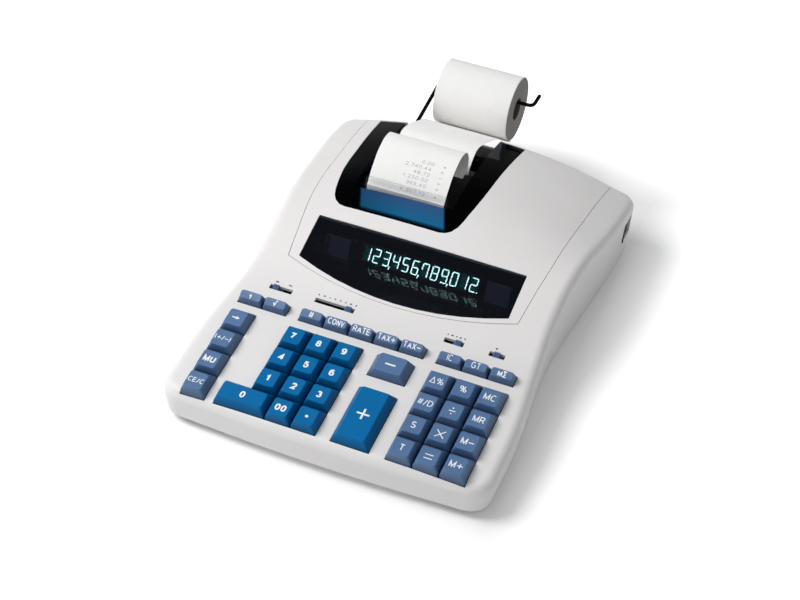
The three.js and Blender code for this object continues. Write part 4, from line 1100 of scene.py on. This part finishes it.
SHELF_HALF, SHELF_Z, SHELF_THICK, SHELF_BACK = 76.4, 38.2, 1, 4.0
SHELF_FRONT, SHELF_BOW, SHELF_STEPS = 125.5, 13.6, 32
WALL_X, WALL_STATIONS, UNDER_LENS = (76.2, 77.0), (140, 150, 160, 172.6), 2.6
SIDE_FOOT_AT, SIDE_FOOT = 130, SHELF_Z - 0.5
BACK_WALL, BACK_FOOT = (172.6, 173.4), 36
BRACKETS, BRACKET_UP = ((-67.6, -50.2), (50.8, 68.4)), (-8.5, 9.6)
BRACKET_OUT, FLANGE_OUT, FLANGE_HALF = (-1.6, -0.4), (-1.6, 1.8), 0.5


def shelf():
    shares = [2 * i / SHELF_STEPS - 1 for i in range(SHELF_STEPS + 1)]
    outline = [(SHELF_HALF * t, SHELF_FRONT + SHELF_BOW * t * t) for t in shares]
    rear = TUBE_Y - SHELF_BACK
    outline += [(SHELF_HALF, rear), (-SHELF_HALF, rear)]
    return loft([[place(x, y, z) for x, y in outline] for z in (SHELF_Z - SHELF_THICK, SHELF_Z)])


def upright(profile, x0, x1):
    """A plate across the part between two places, from an outline of (along, height)."""
    return loft([[place(x, y, z) for y, z in profile] for x in (x0, x1)])


def display_walls():
    def under_window(y):
        return (y, panel_height(y) - UNDER_LENS)

    near, far = BACK_WALL
    inner, outer = WALL_X
    side = [(SIDE_FOOT_AT, SIDE_FOOT), *map(under_window, WALL_STATIONS), (near, SIDE_FOOT)]
    back = [under_window(near), under_window(far), (far, BACK_FOOT), (near, BACK_FOOT)]
    return merge(upright(side, -outer, -inner), upright(side, inner, outer),
                 upright(back, -outer, outer))


def brackets():
    parts = []
    for x0, x1 in BRACKETS:
        edge = x0 if x0 < 0 else x1
        parts.append(block(x0, x1, *BRACKET_UP, *BRACKET_OUT, on_tube, 0.3))
        parts.append(block(edge - FLANGE_HALF, edge + FLANGE_HALF, *BRACKET_UP, *FLANGE_OUT,
                           on_tube, 0.2))
    return merge(*parts)


piece("display_shelf", shelf(), SHELF)
piece("display_walls", display_walls(), SHADE, angle=30)
piece("display_brackets", brackets(), BRACKET, angle=30)


# Paper strip: from the roll over the rear edge, round the feed roller, up past the tear bar

PAPER_WIDE, TAPE_X, ROLL_X = 58, -27.2, -20.3
ROLL_AT, ROLL_HEIGHT, ROLL_R, BORE = 338, 70.4, 24.4, 8
ROLLER_AT, ROLLER_HEIGHT, ROLLER_R = 219, 40, 11
CAD_THICK, CAD_CLEAR, SHEET_HALF, SHEET_COLUMNS = 0.4, 0.3, 0.09, 6
TAPE_LEAD, CURL_DEPTH, CURL_RISE = 4, 46, 20.5
SLOT_Z = surface(TAPE_X, SLOT_FRONT)

# Shares of the supply run's and of the curl's reach and rise
SUPPLY_REACH, SUPPLY_RISE = 82.5, 34.8
SUPPLY = [(1, 0.77), (0.867, 0.908), (0.715, 1), (0.6, 0.983), (0.479, 0.787), (0.297, 0.273)]
CURL = [(0.1, 0.3), (0.31, 0.72), (0.5, 0.93), (0.65, 1), (0.82, 0.94), (0.94, 0.74), (1, 0.4),
        (0.97, 0.12), (0.89, 0), (0.776, -0.08)]
OFF_ROLL, ROUND_ROLLER = (249, 235), (-43, -65, -88, -111, -134, -157, -180)
SHIFT_FROM, SHIFT_TO = 0.11, 0.26


def paper_points():
    """Places (along, height) that the strip passes, as in the CAD source."""
    def about(y, z, radius, degrees):
        turn = map(math.radians, degrees)
        return [(y + radius * math.cos(a), z + radius * math.sin(a)) for a in turn]

    around = ROLLER_R + 1.5 * CAD_THICK
    out = about(ROLL_AT, ROLL_HEIGHT, ROLL_R + CAD_CLEAR + CAD_THICK, OFF_ROLL)
    out += [(ROLLER_AT + SUPPLY_REACH * a, ROLLER_HEIGHT + SUPPLY_RISE * b) for a, b in SUPPLY]
    out += about(ROLLER_AT, ROLLER_HEIGHT, around, ROUND_ROLLER)
    out += [(ROLLER_AT - around, SLOT_Z - TAPE_LEAD / 2), (SLOT_FRONT + TAPE_LEAD, SLOT_Z)]
    out += [(SLOT_FRONT + TAPE_LEAD + CURL_DEPTH * a, SLOT_Z + CURL_RISE * b) for a, b in CURL]
    return out


def spline(points, per=24):
    """Even Catmull-Rom curve through points, as the CAD's."""
    ends = np.array([points[0], *points, points[-1]])
    p0, p1, p2, p3 = (ends[k:len(ends) - 3 + k, None] for k in range(4))
    t = np.arange(per)[None, :, None] / per
    v0, v1 = (p2 - p0) / 2, (p3 - p1) / 2
    fine = ((2 * p1 - 2 * p2 + v0 + v1) * t ** 3
            + (-3 * p1 + 3 * p2 - 2 * v0 - v1) * t * t + v0 * t + p1)
    return np.vstack([fine.reshape(-1, 2), ends[-1:]])


def resample(line, steps):
    """Points at equal steps along a line, and its length."""
    gaps = np.append(0, np.cumsum(np.linalg.norm(np.diff(line, axis=0), axis=1)))
    at = np.linspace(0, gaps[-1], steps + 1)
    return np.column_stack([np.interp(at, gaps, c) for c in line.T]).tolist(), float(gaps[-1])


PATH_STEPS = 420
PATH, PAPER_LONG = resample(spline(paper_points()), PATH_STEPS)


def on_paper(share, across, out):
    """A point by its place on the strip: share of its length, across, and out of its middle."""
    at = share * PATH_STEPS
    i = min(int(at), PATH_STEPS - 1)
    y, z = (a + (b - a) * (at - i) for a, b in zip(PATH[i], PATH[i + 1]))
    before, after = PATH[max(i - 1, 0)], PATH[min(i + 2, PATH_STEPS)]
    dy, dz = after[0] - before[0], after[1] - before[1]
    out /= math.hypot(dy, dz)
    x = ROLL_X + (TAPE_X - ROLL_X) * smooth(share, SHIFT_FROM, SHIFT_TO)
    return place(x + across, y - dz * out, z + dy * out)


def paper_strip():
    columns = [PAPER_WIDE * (i / SHEET_COLUMNS - 0.5) for i in range(SHEET_COLUMNS + 1)]
    rings = []
    for i in range(PATH_STEPS + 1):
        share = i / PATH_STEPS
        rings.append([on_paper(share, x, -SHEET_HALF) for x in columns]
                     + [on_paper(share, x, SHEET_HALF) for x in reversed(columns)])
    strip = piece("paper_strip", loft(rings), PAPER, stands_for=("paper_tape",),
                  angle=60)


# Rows of plain sums on the side that faces the reader, by their distance from the tear bar
ROWS = [(3.0, "4,307p12   *"), (8.6, "365p40   +"), (12.8, "1,250p00   +"), (17.0, "48p72   -"),
        (21.2, "2,740p44   +"), (25.4, "0p00   *")]
ROWS_RIGHT, ROW_TALL, ROW_STROKE, ROW_STRETCH, ROW_GAP = 22, 2.6, 0.3, 1.35, 0.3


def printed_rows():
    bar = (SLOT_FRONT + TAPE_LEAD, SLOT_Z)
    start = min(range(PATH_STEPS + 1), key=lambda i: math.dist(PATH[i], bar)) / PATH_STEPS
    facing = 1 if on_paper(start, 0, 1).y < on_paper(start, 0, 0).y else -1
    parts = []
    for distance, words in ROWS:
        marks, faces = glyphs(words, ROW_TALL, ROW_STROKE, ROW_STRETCH, ROW_GAP, "RIGHT")
        parts.append(([on_paper(start + (distance + y) / PAPER_LONG, ROWS_RIGHT + x,
                                facing * (SHEET_HALF + PRINT_LIFT[z])) for x, y, z in marks],
                      faces))
    piece("printed_rows", merge(*parts), PRINT, angle=30)


paper_strip()
printed_rows()


# Paper roll with its core, and the wire that carries it

CORE_R, CORE_SUNK = BORE + 1.0, (0.4, 0.2)
CHAMFER_IN, CHAMFER_ALONG = 0.4, 0.3
WIRE_R, WIRE_X, WIRE_BEND, BEND_POINTS = 1.4, -53.2, 4, 8
WIRE_FOOT_AT, WIRE_FOOT_Z, WIRE_KNEE_Z = 287, 47.3, 67.2
WIRE_Z = ROLL_HEIGHT + BORE - WIRE_R - CAD_CLEAR
WIRE_CORNERS = [(WIRE_X, WIRE_FOOT_AT, WIRE_FOOT_Z), (WIRE_X, WIRE_FOOT_AT, WIRE_KNEE_Z),
                (WIRE_X, ROLL_AT, WIRE_Z), (20.6, ROLL_AT, WIRE_Z),
                (25.2, ROLL_AT, WIRE_Z + 11.5)]


def round_roll_axis(profile, sides):
    """A ring about the roll's axis from a closed outline of (radius, along)."""
    return loft([[place(ROLL_X + along, ROLL_AT + radius * c, ROLL_HEIGHT + radius * s)
                  for c, s in circle(sides)] for radius, along in profile], joined=True)


def paper_roll():
    end = PAPER_WIDE / 2
    sides = [(ROLL_R - CHAMFER_IN, end), (ROLL_R, end - CHAMFER_ALONG)]
    outer = [(CORE_R, -end), *((r, -x) for r, x in sides), *reversed(sides), (CORE_R, end)]
    roll = piece("roll_of_paper", round_roll_axis(outer, 96), PAPER, "paper_roll_body",
                 ("paper_roll",))
    repaint(roll, ROLL_END, lambda face: abs(face.normal.x) > 0.9)
    bore_x, core_x = (end - sunk for sunk in CORE_SUNK)
    core = [(BORE, -bore_x), (CORE_R, -core_x), (CORE_R, core_x), (BORE, bore_x)]
    piece("roll_core", round_roll_axis(core, 64), CORE, "paper_roll_body")


def roll_wire():
    corners = [Vector(corner) for corner in WIRE_CORNERS]
    line = corners[:1]
    for before, corner, after in zip(corners, corners[1:], corners[2:]):
        a = corner + (before - corner).normalized() * WIRE_BEND
        b = corner + (after - corner).normalized() * WIRE_BEND
        for t in (k / BEND_POINTS for k in range(BEND_POINTS + 1)):
            line.append(a * (1 - t) ** 2 + corner * 2 * t * (1 - t) + b * t * t)
    tip = corners[-1]
    line.append(tip - (tip - line[-1]).normalized() * WIRE_R)
    piece("roll_wire", sweep([place(*p) for p in line], WIRE_R * MM), WIRE,
          stands_for=("roll_holder",), angle=50)


paper_roll()
roll_wire()


# Tear bar: a clear strip that leans back, with fine teeth along its crest

TEAR_X, TEAR_HALF, TEAR_FRONT = -26, 30.5, SLOT_FRONT + 0.3
TEAR_REACH, TEAR_RISE, TEAR_THICK, TEAR_FOOT = 3.6, 6.6, 1.2, 15
TEETH, NOTCH, CREST_SHARE = 60, 0.93, 0.55
EDGE_LINE_FROM, ROOT_DOWN = 0.88, 7


def tear_bar():
    top = surface(TEAR_X + TEAR_HALF, SLOT_FRONT)
    front, rear = TEAR_FRONT, TEAR_FRONT + TEAR_THICK
    share = TEAR_THICK * CREST_SHARE / math.hypot(TEAR_REACH, TEAR_RISE)
    rings = []
    for i in range(2 * TEETH + 1):
        x = TEAR_X - TEAR_HALF + TEAR_HALF * i / TEETH
        tip = 1.0 if i % 2 else NOTCH
        y, z = front + TEAR_REACH * tip, top + TEAR_RISE * tip
        profile = [(front, top - TEAR_FOOT), (rear, top - TEAR_FOOT), (rear, top),
                   (y + TEAR_RISE * share, z - TEAR_REACH * share), (y, z),
                   (front, top + TEAR_THICK / 2)]
        rings.append([place(x, *point) for point in profile])
    low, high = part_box("tear_bar")
    root = block(low.x / MM, high.x / MM, front, rear, top - TEAR_FOOT, top - ROOT_DOWN,
                 place, 0.2)
    bar = piece("tear_bar_clear", merge(loft(rings), root), CLEAR,
                stands_for=("tear_bar",), angle=25)
    # The teeth above this share of their rise get the painted edge line for the light the clear
    # crest bends and mirrors
    repaint(bar, PAINTED_EDGE_LINE, lambda face: face.center.z > (top + TEAR_RISE * EDGE_LINE_FROM) * MM)


tear_bar()


# Underside: rubber pads on the feet and screws in the floor

PADS_AT, PAD_INSET, SCREWS_AT, SCREW_INSET = (24, 284), 20, (60, 150, 262), 30


def discs(stations, inset, z0, z1, radius, edge, sides):
    """Discs with rounded edges on both sides of the part, in from its walls."""
    profile = ((radius - edge, z0), (radius, z0 + edge), (radius, z1 - edge / 2),
               (radius - edge, z1))
    parts = []
    for side in (-1, 1):
        for y in stations:
            x = side * (half_width(y) - inset)
            parts.append(loft([[place(x + r * c, y + r * s, z) for c, s in circle(sides)]
                               for r, z in profile]))
    return merge(*parts)


pads = discs(PADS_AT, PAD_INSET, z0=0, z1=2.2, radius=7.4, edge=0.4, sides=32)
screws = discs(SCREWS_AT, SCREW_INSET, z0=1.7, z1=2.9, radius=2.6, edge=0.3, sides=20)
piece("foot_pads", pads, RUBBER, angle=40)
piece("underside_screws", screws, SCREW, angle=30)
